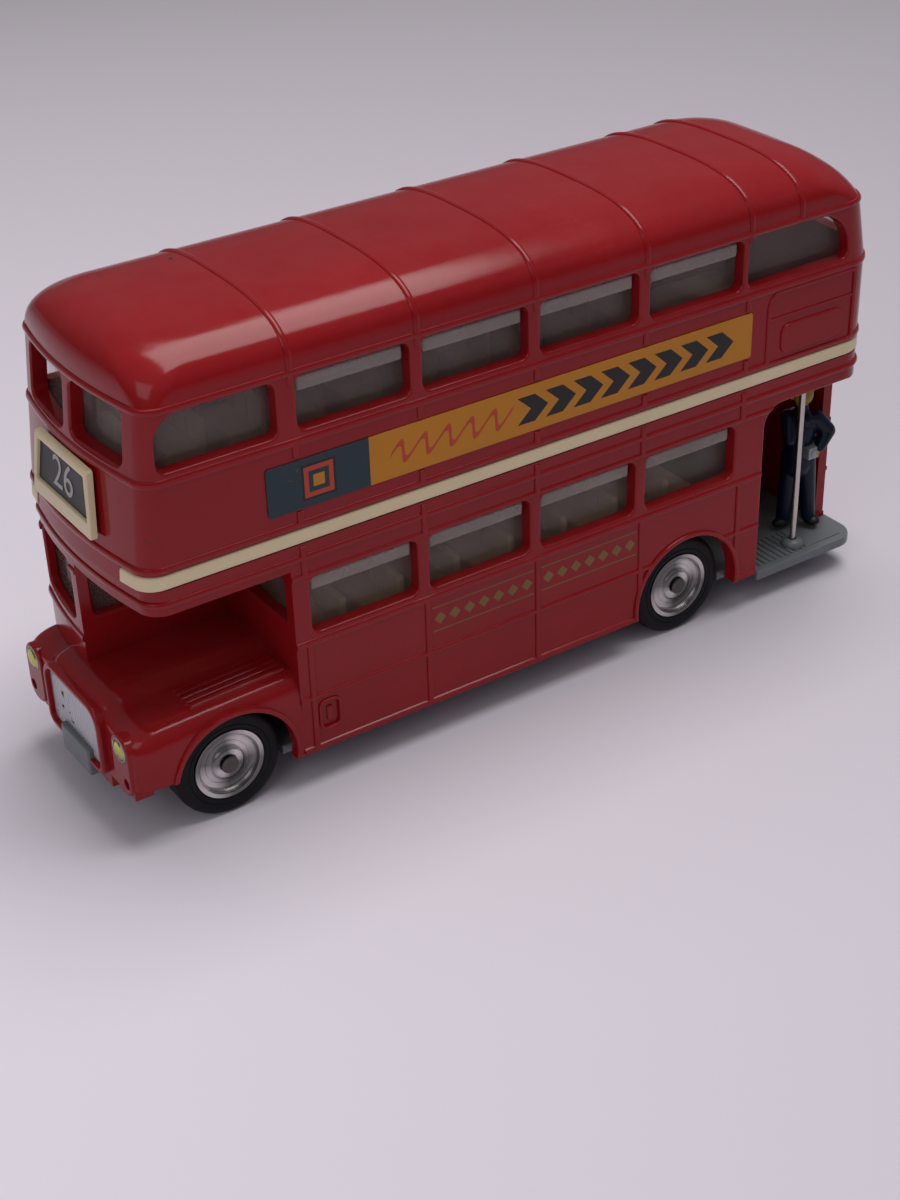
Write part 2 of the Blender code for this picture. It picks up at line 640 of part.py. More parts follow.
def build_lower_body(paint):
    """Build the lower casting: saloon, half cab, bonnet, wings and frieze."""
    profile = [(SKIRT_Z - 0.5 * MM, BEAD_PROUD), (SKIRT_Z + 0.5 * MM, BEAD_PROUD), (SKIRT_Z + 0.8 * MM, 0.0)]
    profile += bead(MID_BEAD_Z, 0.2 * MM)
    profile += bead(LOWER_BELT_Z, 0.4 * MM)
    profile += bead(CANT_BEAD_Z, 0.2 * MM)
    profile += bead(FRIEZE_BEAD_Z, 0.3 * MM)
    profile += [(LOWER_TOP_Z, 0.0)]
    bm = bmesh.new()
    loops = []
    for z, out in profile:
        level = plan(
            BAND_FRONT_X + 0.4 * MM - out,
            REAR_X - REAR_SET_IN + out,
            HALF_WIDTH + out,
            FRONT_CORNER,
            REAR_CORNER,
            z,
        )
        loops.append(level)
    loft(bm, loops)
    body = make_object("lower_body", bm, paint)

    arches = (
        (FRONT_AXLE_X + ARCH_SET_BACK, FRONT_ARCH_RADIUS),
        (REAR_AXLE_X + ARCH_SET_BACK, REAR_ARCH_RADIUS),
    )
    strips = bmesh.new()
    reach = (-HALF_WIDTH - BEAD_PROUD, HALF_WIDTH + BEAD_PROUD)
    for index in range(BAY_COUNT + 1):
        strip = (pillar_x(index), pillar_x(index) + PILLAR_BEAD)
        box(strips, *strip, *reach, SKIRT_Z, LOWER_BELT_Z)
        box(strips, *strip, *reach, CANT_BEAD_Z, LOWER_TOP_Z - 0.3 * MM)
    add(body, "lower_strip_shapes", strips)

    front_space = bmesh.new()
    space = (FRONT_X - BEYOND, BULKHEAD_X, -2 * HALF_WIDTH, CAB_SIDE_Y)
    box(front_space, *space, SKIRT_Z - BEYOND, FRIEZE_UNDERSIDE_Z)
    cut(body, "bay_space", front_space)
    add(body, "bonnet_shape", build_bonnet())
    trims = bmesh.new()
    rim = (
        -GRILLE_HALF - GRILLE_RIM,
        GRILLE_HALF + GRILLE_RIM,
        GRILLE_Z - GRILLE_RIM,
        GRILLE_Z + GRILLE_HEIGHT + GRILLE_RIM,
    )
    rounds = [radius + GRILLE_RIM for radius in GRILLE_ROUNDS]
    window_prism(trims, "X", rim, (NOSE_X - GRILLE_PROUD, NOSE_X + WALL / 2), rounds)
    for side in (-1, 1):
        middle = side * LAMP_Y
        pod = (middle - LAMP_POD_HALF, middle + LAMP_POD_HALF, LAMP_POD_FOOT_Z, LAMP_POD_HEAD_Z)
        pod_reach = (NOSE_X - LAMP_POD_PROUD, NOSE_X + LAMP_POD_REACH)
        window_prism(trims, "X", pod, pod_reach, (LAMP_POD_HALF * 0.8,) * 4)
    add(body, "nose_trim_shapes", trims)
    louvres = bmesh.new()
    for index in range(LOUVRE_COUNT):
        y = LOUVRE_Y - index * LOUVRE_PITCH
        loops = []
        for x in (BULKHEAD_X - LOUVRE_INSET - LOUVRE_LENGTH, BULKHEAD_X - LOUVRE_INSET):
            foot = wing_top(x) - WALL / 2
            head = wing_top(x) + BEAD_PROUD
            loops.append([(x, y, foot), (x, y, head), (x, y - LOUVRE_WIDTH, head), (x, y - LOUVRE_WIDTH, foot)])
        loft(louvres, loops)
    add(body, "louvre_shapes", louvres)
    frame = bmesh.new()
    frame_reach = (-HALF_WIDTH - FLAP_PROUD, WALL / 2 - HALF_WIDTH)
    window_prism(frame, "Y", flap_outline(FLAP_RIM), frame_reach, (FLAP_ROUND + FLAP_RIM,) * 4)
    add(body, "flap_frame_shape", frame)
    lips = bmesh.new()
    for centre, radius in arches:
        cylinder(
            lips,
            (centre, 0.0, AXLE_Z - 0.6 * MM),
            radius + ARCH_LIP,
            2 * (HALF_WIDTH + ARCH_PROUD),
            "Y",
            WHEEL_SEGMENTS,
        )
    add(body, "arch_lip_shapes", lips)

    saloon = bmesh.new()
    inner = HALF_WIDTH - WALL
    back = BULKHEAD_X + BULKHEAD_THICKNESS
    rear = REAR_X - REAR_SET_IN - WALL
    loops = []
    for z in (SKIRT_Z - BEYOND, LOWER_TOP_Z + BEYOND):
        outline = rounded_rectangle(back, rear, -inner, inner, (0.4 * MM, 2.2 * MM, 2.2 * MM, 0.4 * MM))
        loops.append([(x, y, z) for x, y in outline])
    cut(body, "saloon_hollow", loft(saloon, loops))
    frieze = bmesh.new()
    front = BAND_FRONT_X + 0.4 * MM + WALL
    loops = []
    for z in (FRIEZE_UNDERSIDE_Z - 0.5 * MM, LOWER_TOP_Z + BEYOND):
        loops.append(plan(front, back + WALL, inner, 0.6 * MM, 0.6 * MM, z, FRONT_BOW, 0.0))
    cut(body, "frieze_hollow", loft(frieze, loops))
    cab = bmesh.new()
    loft(cab, [cab_outline(z, 0.0) for z in (CAB_FLOOR_Z, LOWER_TOP_Z + BEYOND)])
    cut(body, "cab_hollow", cab)
    under = bmesh.new()
    loops = []
    for x in (NOSE_X + NOSE_WALL, back + WALL):
        section = bonnet_section(x, BONNET_WALL)
        section = [(y, z if z > SKIRT_Z else SKIRT_Z - BEYOND) for y, z in section]
        loops.append([(x, y, z) for y, z in section])
    loft(under, loops)
    bmesh.ops.triangulate(under, faces=[face for face in under.faces if len(face.verts) == 4])
    cut(body, "bonnet_hollow", under)

    openings = bmesh.new()
    for index in range(BAY_COUNT):
        side_window(openings, bay_centre(index), LOWER_WINDOW_Z, LOWER_WINDOW_HEIGHT)
    sill = LOWER_WINDOW_Z + CAB_SILL_RISE
    inner_sill = LOWER_WINDOW_Z + INNER_SILL_RISE
    head = LOWER_WINDOW_Z + LOWER_WINDOW_HEIGHT
    cab_rear = BULKHEAD_X - 1.2 * MM
    outer_window = (front + FRONT_BOW + 0.7 * MM, cab_rear, sill, head)
    outer_reach = (inner - WALL, HALF_WIDTH + BEYOND)
    window_prism(openings, "Y", outer_window, outer_reach, (WINDOW_ROUND,) * 4)
    inner_window = (front - 0.1 * MM, cab_rear, inner_sill, head)
    inner_reach = (CAB_SIDE_Y - WALL, CAB_SIDE_Y + CAB_SIDE_WALL + WALL)
    window_prism(openings, "Y", inner_window, inner_reach, (WINDOW_ROUND,) * 4)
    cut(body, "lower_window_shapes", openings)
    panes = bmesh.new()
    screen = (CAB_SIDE_Y + WALL, inner - WALL * 0.4, sill, FRIEZE_UNDERSIDE_Z - 0.5 * MM)
    window_prism(panes, "X", screen, (FRONT_X - BEYOND, front + WALL), (WINDOW_ROUND,) * 4)
    bulkhead = (0.2 * MM - inner, CAB_SIDE_Y - WALL, inner_sill, head)
    window_prism(panes, "X", bulkhead, (BULKHEAD_X - WALL, back + WALL), (WINDOW_ROUND,) * 4)
    tail = (REAR_WALL_Y + 3 * WALL, inner - 2 * WALL, LOWER_WINDOW_Z, LOWER_WINDOW_Z + LOWER_WINDOW_HEIGHT)
    window_prism(panes, "X", tail, (rear - WALL, REAR_X + BEYOND), (WINDOW_ROUND,) * 4)
    cut(body, "pane_shapes", panes)

    doorway = bmesh.new()
    along = (PLATFORM_FRONT_X, REAR_X + BEYOND, SKIRT_Z - BEYOND, PLATFORM_HEAD_Z)
    radii = (WINDOW_ROUND, WINDOW_ROUND, WINDOW_ROUND, PLATFORM_ROUND)
    window_prism(doorway, "Y", along, (-HALF_WIDTH - BEYOND, REAR_WALL_Y), radii)
    cut(body, "doorway_shape", doorway)

    wells = bmesh.new()
    for centre, radius in arches:
        for side in (-1, 1):
            middle = side * (HALF_WIDTH + BEYOND / 2)
            cylinder(wells, (centre, middle, AXLE_Z - 0.6 * MM), radius, 2 * BEYOND, "Y", WHEEL_SEGMENTS)
    cut(body, "arch_shapes", wells)

    details = bmesh.new()
    along = (-GRILLE_HALF, GRILLE_HALF, GRILLE_Z, GRILLE_Z + GRILLE_HEIGHT)
    grille_reach = (NOSE_X - BEYOND, NOSE_X - GRILLE_PROUD + GRILLE_DEPTH)
    window_prism(details, "X", along, grille_reach, GRILLE_ROUNDS)
    for side in (-1, 1):
        lamp = (NOSE_X - BEYOND / 2 + LAMP_DEPTH, side * LAMP_Y, LAMP_Z)
        cylinder(details, lamp, LAMP_RADIUS + SEAM, BEYOND, "X", LAMP_SEGMENTS)
        light = (lamp[0] - LAMP_DEPTH / 2, side * (LAMP_Y + SIDE_LIGHT_OFFSET), SIDE_LIGHT_Z)
        cylinder(details, light, SIDE_LIGHT_RADIUS, BEYOND, "X", LAMP_SEGMENTS)
    flap = flap_outline(0.0)
    window_prism(details, "Y", flap, (-HALF_WIDTH - BEYOND, FLAP_DEPTH - HALF_WIDTH), (FLAP_ROUND,) * 4)
    cut(body, "detail_shapes", details)

    wing_feet = bmesh.new()
    pod_feet = bmesh.new()
    ahead = (FRONT_X - BEYOND, FRONT_AXLE_X - TYRE_RADIUS / 2)
    for side in (-1, 1):
        reach = sorted((side * (LAMP_Y + LAMP_POD_HALF), side * 2 * HALF_WIDTH))
        box(wing_feet, *ahead, *reach, SKIRT_Z - BEYOND, WING_FOOT_Z)
        reach = sorted((side * (GRILLE_HALF + GRILLE_RIM), side * 2 * HALF_WIDTH))
        box(pod_feet, *ahead, *reach, SKIRT_Z - BEYOND, LAMP_POD_FOOT_Z)
    cut(body, "wing_foot_shapes", wing_feet)
    cut(body, "pod_foot_shapes", pod_feet)

    notch = bmesh.new()
    depth = FRONT_X + BUMPER_DEPTH + SEAM
    half = BUMPER_HALF + SEAM
    box(notch, FRONT_X - BEYOND, depth, -half, half, SKIRT_Z - BEYOND, BUMPER_Z + BUMPER_HEIGHT + SEAM)
    cut(body, "bumper_notch", notch)

    below = bmesh.new()
    box(below, FRONT_X - BEYOND, REAR_X + BEYOND, -2 * HALF_WIDTH, 2 * HALF_WIDTH, -BEYOND, SKIRT_Z)
    cut(body, "below_skirt", below)
    smooth(body)
    return body


def bench_profile(rows, start, floor):
    """List the side view of a row of seats standing on a floor."""
    points = [(start, floor)]
    for row in range(rows):
        x = start + row * SEAT_PITCH
        points += [
            (x, floor + SEAT_HEIGHT),
            (x + SEAT_DEPTH, floor + SEAT_HEIGHT),
            (x + SEAT_DEPTH + 0.4 * MM, floor + SEAT_BACK_HEIGHT),
            (x + SEAT_DEPTH + SEAT_BACK_THICKNESS, floor + SEAT_BACK_HEIGHT),
            (x + SEAT_DEPTH + SEAT_BACK_THICKNESS, floor + 0.5 * MM),
            (x + SEAT_PITCH, floor + 0.5 * MM),
        ]
    points.append((start + rows * SEAT_PITCH, floor))
    points += [
        (start + rows * SEAT_PITCH, floor - 0.4 * MM),
        (start, floor - 0.4 * MM),
    ]
    return points


def benches(rows, start, floor, half):
    """Build the two rows of seats along the gangway."""
    bm = bmesh.new()
    for side in (-1, 1):
        outer = side * (half - BENCH_FIT)
        inner = side * (GANGWAY_HALF + half - HALF_WIDTH + WALL)
        loft(bm, [[(x, y, z) for x, z in bench_profile(rows, start, floor)] for y in (outer, inner)])
    return bm


def build_deck_moulding(surface):
    """Build the cream moulding: the band between the decks, the upper floor and its seats."""
    bm = bmesh.new()
    loft(bm, [body_level(z, -SEAM) for z in (BAND_Z, BAND_Z + BAND_HEIGHT)])
    deck = make_object("deck_moulding", bm, surface)
    notch = bmesh.new()
    box(
        notch,
        FRONT_X - BEYOND,
        BAND_FRONT_X + APRON_DEPTH + WALL,
        -APRON_HALF - SEAM,
        APRON_HALF + SEAM,
        BAND_Z - BEYOND,
        UPPER_BASE_Z + BEYOND,
    )
    cut(deck, "apron_notch", notch)
    floor = BAND_Z + BAND_HEIGHT
    half = HALF_WIDTH - WALL
    start = BAND_FRONT_X + 2 * APRON_DEPTH + WALL + 2.0 * MM
    add(deck, "upper_benches", benches(UPPER_SEAT_ROWS, start, floor, half))
    return deck


def build_lower_seats(surface):
    """Build the lower saloon's floor, seats and the two bosses that the rivets hold."""
    half = SALOON_HALF
    start = BULKHEAD_X + BULKHEAD_THICKNESS + GLASS_THICKNESS + 3 * GLASS_FIT
    bm = bmesh.new()
    box(bm, start, STAIR_X - SEAM, -half, half, LOWER_FLOOR_Z, LOWER_FLOOR_Z + LOWER_FLOOR_THICKNESS)
    seats = make_object("lower_seats", bm, surface)
    floor = LOWER_FLOOR_Z + LOWER_FLOOR_THICKNESS
    add(seats, "lower_benches", benches(LOWER_SEAT_ROWS, start + 1.0 * MM, floor, half))
    bosses = bmesh.new()
    bottom = BASE_Z + BASE_THICKNESS + SEAM
    top = LOWER_FLOOR_Z + LOWER_FLOOR_THICKNESS / 2
    for x in RIVET_X:
        cylinder(bosses, (x, 0.0, (bottom + top) / 2), BOSS_RADIUS, top - bottom)
    add(seats, "boss_shapes", bosses)
    bores = bmesh.new()
    for x in RIVET_X:
        depth = rivet_top() - BASE_Z + SEAM
        cylinder(bores, (x, 0.0, BASE_Z + depth / 2), RIVET_RADIUS + SEAM, depth)
    cut(seats, "boss_bores", bores)
    return seats


def build_staircase(surface):
    """Build the block of stairs that stands on the platform behind the saloon."""
    run = (REAR_X - REAR_SET_IN - WALL - BASE_FIT - STAIR_X) / STAIR_STEPS
    foot = BASE_Z + BASE_THICKNESS + SEAM
    profile = [(STAIR_X, foot)]
    for step in range(STAIR_STEPS):
        level = LOWER_FLOOR_Z + 2.0 * MM + step * STAIR_RISE
        profile += [(STAIR_X + step * run, level), (STAIR_X + (step + 1) * run, level)]
    profile.append((STAIR_X + STAIR_STEPS * run, foot))
    outer = SALOON_HALF - WALL
    stairs = bmesh.new()
    loft(stairs, [[(x, y, z) for x, z in profile] for y in (outer, outer - STAIR_WIDTH)])
    return make_object("staircase", stairs, surface)


def rivet_top():
    """Give the height that a rivet reaches inside its boss."""
    return LOWER_FLOOR_Z - 1.5 * MM


def ring(bm_name, name, surface, outer_loops, inner_loops):
    """Build a tube from two stacks of loops, open at both ends."""
    bm = bmesh.new()
    loft(bm, outer_loops)
    tube = make_object(name, bm, surface)
    core = bmesh.new()
    loft(core, inner_loops)
    cut(tube, bm_name, core)
    return tube


def hopper_bars(centres, top, y_face):
    """Build the raised ventilator bars that stand in the tops of the side windows."""
    bm = bmesh.new()
    length = WINDOW_LENGTH - 2 * HOPPER_INSET
    for centre in centres:
        for side in (-1, 1):
            reach = sorted((side * (y_face - GLASS_THICKNESS / 2), side * (y_face + HOPPER_PROUD)))
            box(bm, centre - length / 2, centre + length / 2, *reach, top - HOPPER_HEIGHT, top)
    return bm


def build_upper_glazing(surface):
    """Build the clear moulding behind the upper deck's windows."""
    low, middle, high = upper_glass_heights()
    outset = WALL + GLASS_FIT
    outer = [body_level(z, outset) for z in (low, middle, high)]
    inner = [body_level(z, outset + GLASS_THICKNESS) for z in (low - WALL, low, middle, high, high + WALL)]
    glazing = ring("upper_glazing_core", "upper_glazing", surface, outer, inner)
    centres = [bay_centre(index) for index in range(BAY_COUNT)]
    top = UPPER_WINDOW_Z + UPPER_WINDOW_HEIGHT - HOPPER_INSET
    add(glazing, "upper_hopper_shapes", hopper_bars(centres, top, HALF_WIDTH - outset))
    return glazing


def build_lower_glazing(surface):
    """Build the clear moulding behind the saloon's windows, with its pane at the bulkhead."""
    low = LOWER_BELT_Z + 0.4 * MM
    high = LOWER_WINDOW_Z + LOWER_WINDOW_HEIGHT + 0.6 * MM
    half = HALF_WIDTH - WALL - GLASS_FIT
    front = BULKHEAD_X + BULKHEAD_THICKNESS + GLASS_FIT
    rear = pillar_x(BAY_COUNT) + 1.5 * MM
    bm = bmesh.new()
    box(bm, front, rear, -half, half, low, high)
    glazing = make_object("lower_glazing", bm, surface)
    core = bmesh.new()
    inner = half - GLASS_THICKNESS
    box(core, front + GLASS_THICKNESS, rear + BEYOND, -inner, inner, low - BEYOND, high + BEYOND)
    cut(glazing, "lower_glazing_core", core)
    centres = [bay_centre(index) for index in range(BAY_COUNT)]
    top = LOWER_WINDOW_Z + LOWER_WINDOW_HEIGHT - HOPPER_INSET
    add(glazing, "lower_hopper_shapes", hopper_bars(centres, top, half))
    return glazing


def build_cab_glazing(surface):
    """Build the clear moulding of the cab: windscreen and side panes."""
    low = LOWER_BELT_Z + 0.4 * MM
    high = LOWER_WINDOW_Z + LOWER_WINDOW_HEIGHT + 1.2 * MM
    bm = bmesh.new()
    loft(bm, [cab_outline(z, GLASS_FIT) for z in (low, high)])
    glazing = make_object("cab_glazing", bm, surface)
    core = bmesh.new()
    loops = []
    for z in (low - BEYOND, high + BEYOND):
        loop = cab_outline(z, GLASS_FIT + GLASS_THICKNESS)
        loops.append([(x + BEYOND, y, z) for x, y, z in loop[:2]] + loop[2:])
    cut(glazing, "cab_glazing_core", loft(core, loops))
    return glazing


def build_base(surface):
    """Build the base: floor plate, platform, bumper and the lugs that carry the axles."""
    fit = WALL + BASE_FIT
    half = HALF_WIDTH - fit
    nose = NOSE_X + NOSE_WALL
    bm = bmesh.new()
    box(bm, nose + BASE_FIT, PLATFORM_FRONT_X + 1.0 * MM, -half, half, BASE_Z, BASE_Z + BASE_THICKNESS)
    base = make_object("base", bm, surface)

    platform = bmesh.new()
    under = PLATFORM_TOP_Z - PLATFORM_THICKNESS
    outline = rounded_rectangle(
        PLATFORM_FRONT_X + BASE_FIT,
        REAR_X,
        -HALF_WIDTH,
        HALF_WIDTH,
        (0.3 * MM, PLATFORM_CORNER, PLATFORM_CORNER, 0.3 * MM),
    )
    loft(platform, [[(x, y, z) for x, y in outline] for z in (under, PLATFORM_TOP_Z)])
    add(base, "platform_shape", platform)

    bumper = bmesh.new()
    bar = (BASE_Z, BUMPER_Z + BUMPER_HEIGHT)
    box(bumper, FRONT_X, FRONT_X + BUMPER_DEPTH, -BUMPER_HALF, BUMPER_HALF, *bar)
    add(base, "bumper_shape", bumper)
    arm = bmesh.new()
    box(
        arm,
        FRONT_X + BUMPER_DEPTH / 2,
        nose + 2 * BASE_FIT,
        -BUMPER_HALF + 1.0 * MM,
        BUMPER_HALF - 1.0 * MM,
        BASE_Z - 0.4 * MM,
        SKIRT_Z - SEAM - 0.1 * MM,
    )
    add(base, "bumper_arm", arm)

    trims = bmesh.new()
    for step in range(TREAD_RIB_COUNT):
        x = PLATFORM_FRONT_X + 1.6 * MM + step * 2.2 * TREAD_RIB
        across = (1.0 * MM - HALF_WIDTH, REAR_WALL_Y)
        box(trims, x, x + TREAD_RIB, *across, PLATFORM_TOP_Z - 0.2 * MM, PLATFORM_TOP_Z + 0.2 * MM)
    add(base, "tread_ribs", trims)
    socket = bmesh.new()
    middle = PLATFORM_TOP_Z + POLE_CUP_HEIGHT / 2 - 0.2 * MM
    cylinder(socket, (POLE_X, POLE_Y, middle), POLE_CUP, POLE_CUP_HEIGHT + 0.4 * MM)
    add(base, "pole_cup", socket)

    lugs = bmesh.new()
    for x in (FRONT_AXLE_X, REAR_AXLE_X):
        for side in (-1, 1):
            reach = sorted((side * (LUG_Y - LUG_WIDTH / 2), side * (LUG_Y + LUG_WIDTH / 2)))
            top = AXLE_Z + AXLE_RADIUS + LUG_CAP
            box(lugs, x - LUG_LENGTH / 2, x + LUG_LENGTH / 2, *reach, BASE_Z + BASE_THICKNESS / 4, top)
    add(base, "lug_shapes", lugs)

    holes = bmesh.new()
    wells = bmesh.new()
    well_half = TYRE_RADIUS + 0.6 * MM
    well_y = HUB_OUTER_Y - HUB_WIDTH - 1.0 * MM
    for x in (FRONT_AXLE_X, REAR_AXLE_X):
        cylinder(holes, (x, 0.0, AXLE_Z), AXLE_RADIUS + RUNNING_FIT, 2 * HALF_WIDTH, "Y")
        for side in (-1, 1):
            reach = sorted((side * well_y, side * 2 * HALF_WIDTH))
            start = x - well_half if x > 0 else FRONT_X - BEYOND
            box(wells, start, x + well_half, *reach, -BEYOND, 2 * AXLE_Z)
    cut(base, "wheel_wells", wells)
    for x in RIVET_X:
        cylinder(holes, (x, 0.0, BASE_Z), RIVET_RADIUS + SEAM, 2 * BEYOND)
    cup = PLATFORM_TOP_Z + BEYOND / 2 - 0.4 * MM
    cylinder(holes, (POLE_X, POLE_Y, cup), POLE_RADIUS + SEAM, BEYOND)
    cut(base, "base_holes", holes)
    seats = bmesh.new()
    for x in RIVET_X:
        cylinder(seats, (x, 0.0, BASE_Z + RIVET_SEAT - BEYOND / 2), RIVET_HEAD + SEAM, BEYOND)
    cut(base, "rivet_seats", seats)
    return base


def lathe(bm, points, matrix, segments=WHEEL_SEGMENTS):
    """Turn a closed profile of (radius, distance) points about the local Z axis."""
    loops = []
    for step in range(segments):
        angle = step / segments * 2 * math.pi
        loops.append(
            [bm.verts.new(matrix @ Vector((r * math.cos(angle), r * math.sin(angle), d))) for r, d in points]
        )
    for index, loop in enumerate(loops):
        following = loops[(index + 1) % segments]
        for corner in range(len(points)):
            after = (corner + 1) % len(points)
            bm.faces.new((loop[corner], loop[after], following[after], following[corner]))
    return bm


def wheel_frame(side):
    """Give the turn that points a wheel's own Z axis outward, with the object's origin on its axis."""
    return Matrix.Rotation(-side * math.pi / 2, 4, "X")


def build_wheel(name, x, side, hub_surface, tyre_surface):
    """Build one hub and its tyre with their origins on the axle's line."""
    outer = HUB_OUTER_Y
    inner = outer - HUB_WIDTH
    bore = AXLE_RADIUS + RUNNING_FIT
    hub_points = [
        (bore, inner),
        (HUB_RADIUS, inner),
        (HUB_RADIUS, outer),
        (HUB_RADIUS - 0.7 * MM, outer),
        (HUB_RADIUS - 1.1 * MM, outer - HUB_DISH),
        (HUB_BOSS + 0.5 * MM, outer - HUB_DISH),
        (HUB_BOSS, outer - 0.2 * MM),
        (bore, outer - 0.2 * MM),
    ]
    tyre_outer = outer - (HUB_WIDTH - TYRE_WIDTH) / 2 - 0.1 * MM
    tyre_inner = tyre_outer - TYRE_WIDTH
    well = HUB_RADIUS + TYRE_FIT
    tyre_points = [
        (well, tyre_inner),
        (TYRE_RADIUS - TYRE_ROUND, tyre_inner),
        (TYRE_RADIUS - 0.3 * TYRE_ROUND, tyre_inner + 0.3 * TYRE_ROUND),
        (TYRE_RADIUS, tyre_inner + TYRE_ROUND),
        (TYRE_RADIUS, tyre_outer - TYRE_ROUND),
        (TYRE_RADIUS - 0.3 * TYRE_ROUND, tyre_outer - 0.3 * TYRE_ROUND),
        (TYRE_RADIUS - TYRE_ROUND, tyre_outer),
        (well, tyre_outer),
    ]
    for kind, points, surface in (("hub", hub_points, hub_surface), ("tyre", tyre_points, tyre_surface)):
        bm = bmesh.new()
        lathe(bm, points, wheel_frame(side))
        piece = make_object(f"{name}_{kind}", bm, surface)
        piece.location = (x, 0.0, AXLE_Z)
        smooth(piece)


def build_axle(name, x, surface):
    """Build an axle with its spread ends outside the hubs."""
    reach = HUB_OUTER_Y - 0.2 * MM + SIDE_PLAY
    bm = bmesh.new()
    points = [
        (-reach - AXLE_HEAD_THICKNESS, 0.7 * AXLE_HEAD),
        (-reach - AXLE_HEAD_THICKNESS * 0.6, AXLE_HEAD),
        (-reach, AXLE_HEAD),
        (-reach, AXLE_RADIUS),
        (reach, AXLE_RADIUS),
        (reach, AXLE_HEAD),
        (reach + AXLE_HEAD_THICKNESS * 0.6, AXLE_HEAD),
        (reach + AXLE_HEAD_THICKNESS, 0.7 * AXLE_HEAD),
    ]
    loops = []
    for distance, radius in points:
        circle = [step / PIN_SEGMENTS * 2 * math.pi for step in range(PIN_SEGMENTS)]
        loops.append([(radius * math.cos(angle), distance, radius * math.sin(angle)) for angle in circle])
    loft(bm, loops)
    axle = make_object(name, bm, surface)
    axle.location = (x, 0.0, AXLE_Z)
    smooth(axle)


def build_rivet(name, x, surface):
    """Build a rivet that holds the base to the lower seats' boss."""
    bm = bmesh.new()
    top = rivet_top()
    low = BASE_Z + RIVET_SEAT - SEAM
    profile = [
        (RIVET_HEAD * 0.6, low - RIVET_HEAD_THICKNESS),
        (RIVET_HEAD, low - RIVET_HEAD_THICKNESS * 0.4),
        (RIVET_HEAD, low),
        (RIVET_RADIUS, low),
        (RIVET_RADIUS, top),
    ]
    loops = []
    for radius, z in profile:
        circle = [step / PIN_SEGMENTS * 2 * math.pi for step in range(PIN_SEGMENTS)]
        loops.append([(x + radius * math.cos(angle), radius * math.sin(angle), z) for angle in circle])
    loft(bm, loops)
    smooth(make_object(name, bm, surface))


def build_pole(surface):
    """Build the steel grab pole between the platform and the deck moulding."""
    low = PLATFORM_TOP_Z - 0.4 * MM + SEAM
    high = BAND_Z - SEAM
    bm = bmesh.new()
    cylinder(bm, (POLE_X, POLE_Y, (low + high) / 2), POLE_RADIUS, high - low, "Z", 16)
    smooth(make_object("platform_pole", bm, surface))


def build_headlamp(name, side, surface):
    """Build one faceted jewel that sits in its recess in the wing."""
    bm = bmesh.new()
    stations = (
        (NOSE_X + LAMP_DEPTH - SEAM, LAMP_RADIUS),
        (NOSE_X - LAMP_POD_PROUD, LAMP_RADIUS),
        (NOSE_X - LAMP_POD_PROUD - JEWEL_RISE * 0.7, LAMP_RADIUS * 0.62),
        (NOSE_X - LAMP_POD_PROUD - JEWEL_RISE, LAMP_RADIUS * 0.3),
    )
    loops = []
    for x, radius in stations:
        turns = [step / JEWEL_SIDES * 2 * math.pi for step in range(JEWEL_SIDES)]
        loops.append(
            [
                (x, side * LAMP_Y + radius * math.cos(angle), LAMP_Z + radius * math.sin(angle))
                for angle in turns
            ]
        )
    loft(bm, loops)
    make_object(name, bm, surface)


def leaning_panel(top_half, bottom_half, low, high, back, front):
    """List two loops of a four-sided panel that leans with the front of the upper deck."""
    loops = []
    for offset in (back, front):
        loops.append(
            [
                (front_x(low) - offset, -bottom_half, low),
                (front_x(low) - offset, bottom_half, low),
                (front_x(high) - offset, top_half, high),
                (front_x(high) - offset, -top_half, high),
            ]
        )
    return loops


def build_destination_box(frame_surface, blind_surface):
    """Build the cream destination box on the front and the blind in it."""
    high = BOX_Z + BOX_HEIGHT
    bm = bmesh.new()
    loft(bm, leaning_panel(BOX_TOP_HALF, BOX_BOTTOM_HALF, BOX_Z, high, SEAM, BOX_DEPTH))
    frame = make_object("destination_box", bm, frame_surface)
    inner_top = BOX_TOP_HALF - BOX_RIM
    inner_bottom = BOX_BOTTOM_HALF - BOX_RIM
    low_edge = BOX_Z + BOX_SILL
    high_edge = high - BOX_RIM
    recess = bmesh.new()
    face = BOX_DEPTH - BLIND_RECESS
    loft(recess, leaning_panel(inner_top, inner_bottom, low_edge, high_edge, face, BOX_DEPTH + BEYOND))
    cut(frame, "blind_recess", recess)
    blind = bmesh.new()
    start = face + PAPER_GAP
    sizes = (inner_top - SEAM, inner_bottom - SEAM, low_edge + SEAM, high_edge - SEAM)
    loft(blind, leaning_panel(*sizes, start, start + PAPER))
    make_object("destination_blind", blind, blind_surface)


def build_advert(name, side, surface):
    """Build one paper advert strip on the side of the upper deck."""
    near = HALF_WIDTH + PAPER_GAP
    reach = sorted((side * near, side * (near + PAPER)))
    bm = bmesh.new()
    box(
        bm,
        ADVERT_X - ADVERT_LENGTH / 2,
        ADVERT_X + ADVERT_LENGTH / 2,
        *reach,
        ADVERT_Z - ADVERT_HEIGHT / 2,
        ADVERT_Z + ADVERT_HEIGHT / 2,
    )
    make_object(name, bm, surface)


def ellipsoid(bm, centre, radii, turn=Matrix.Identity(4)):
    """Add a faceted ball stretched along three axes."""
    matrix = Matrix.Translation(centre) @ turn @ Matrix.Diagonal((*radii, 1.0))
    bmesh.ops.create_uvsphere(bm, u_segments=10, v_segments=6, radius=1.0, matrix=matrix)


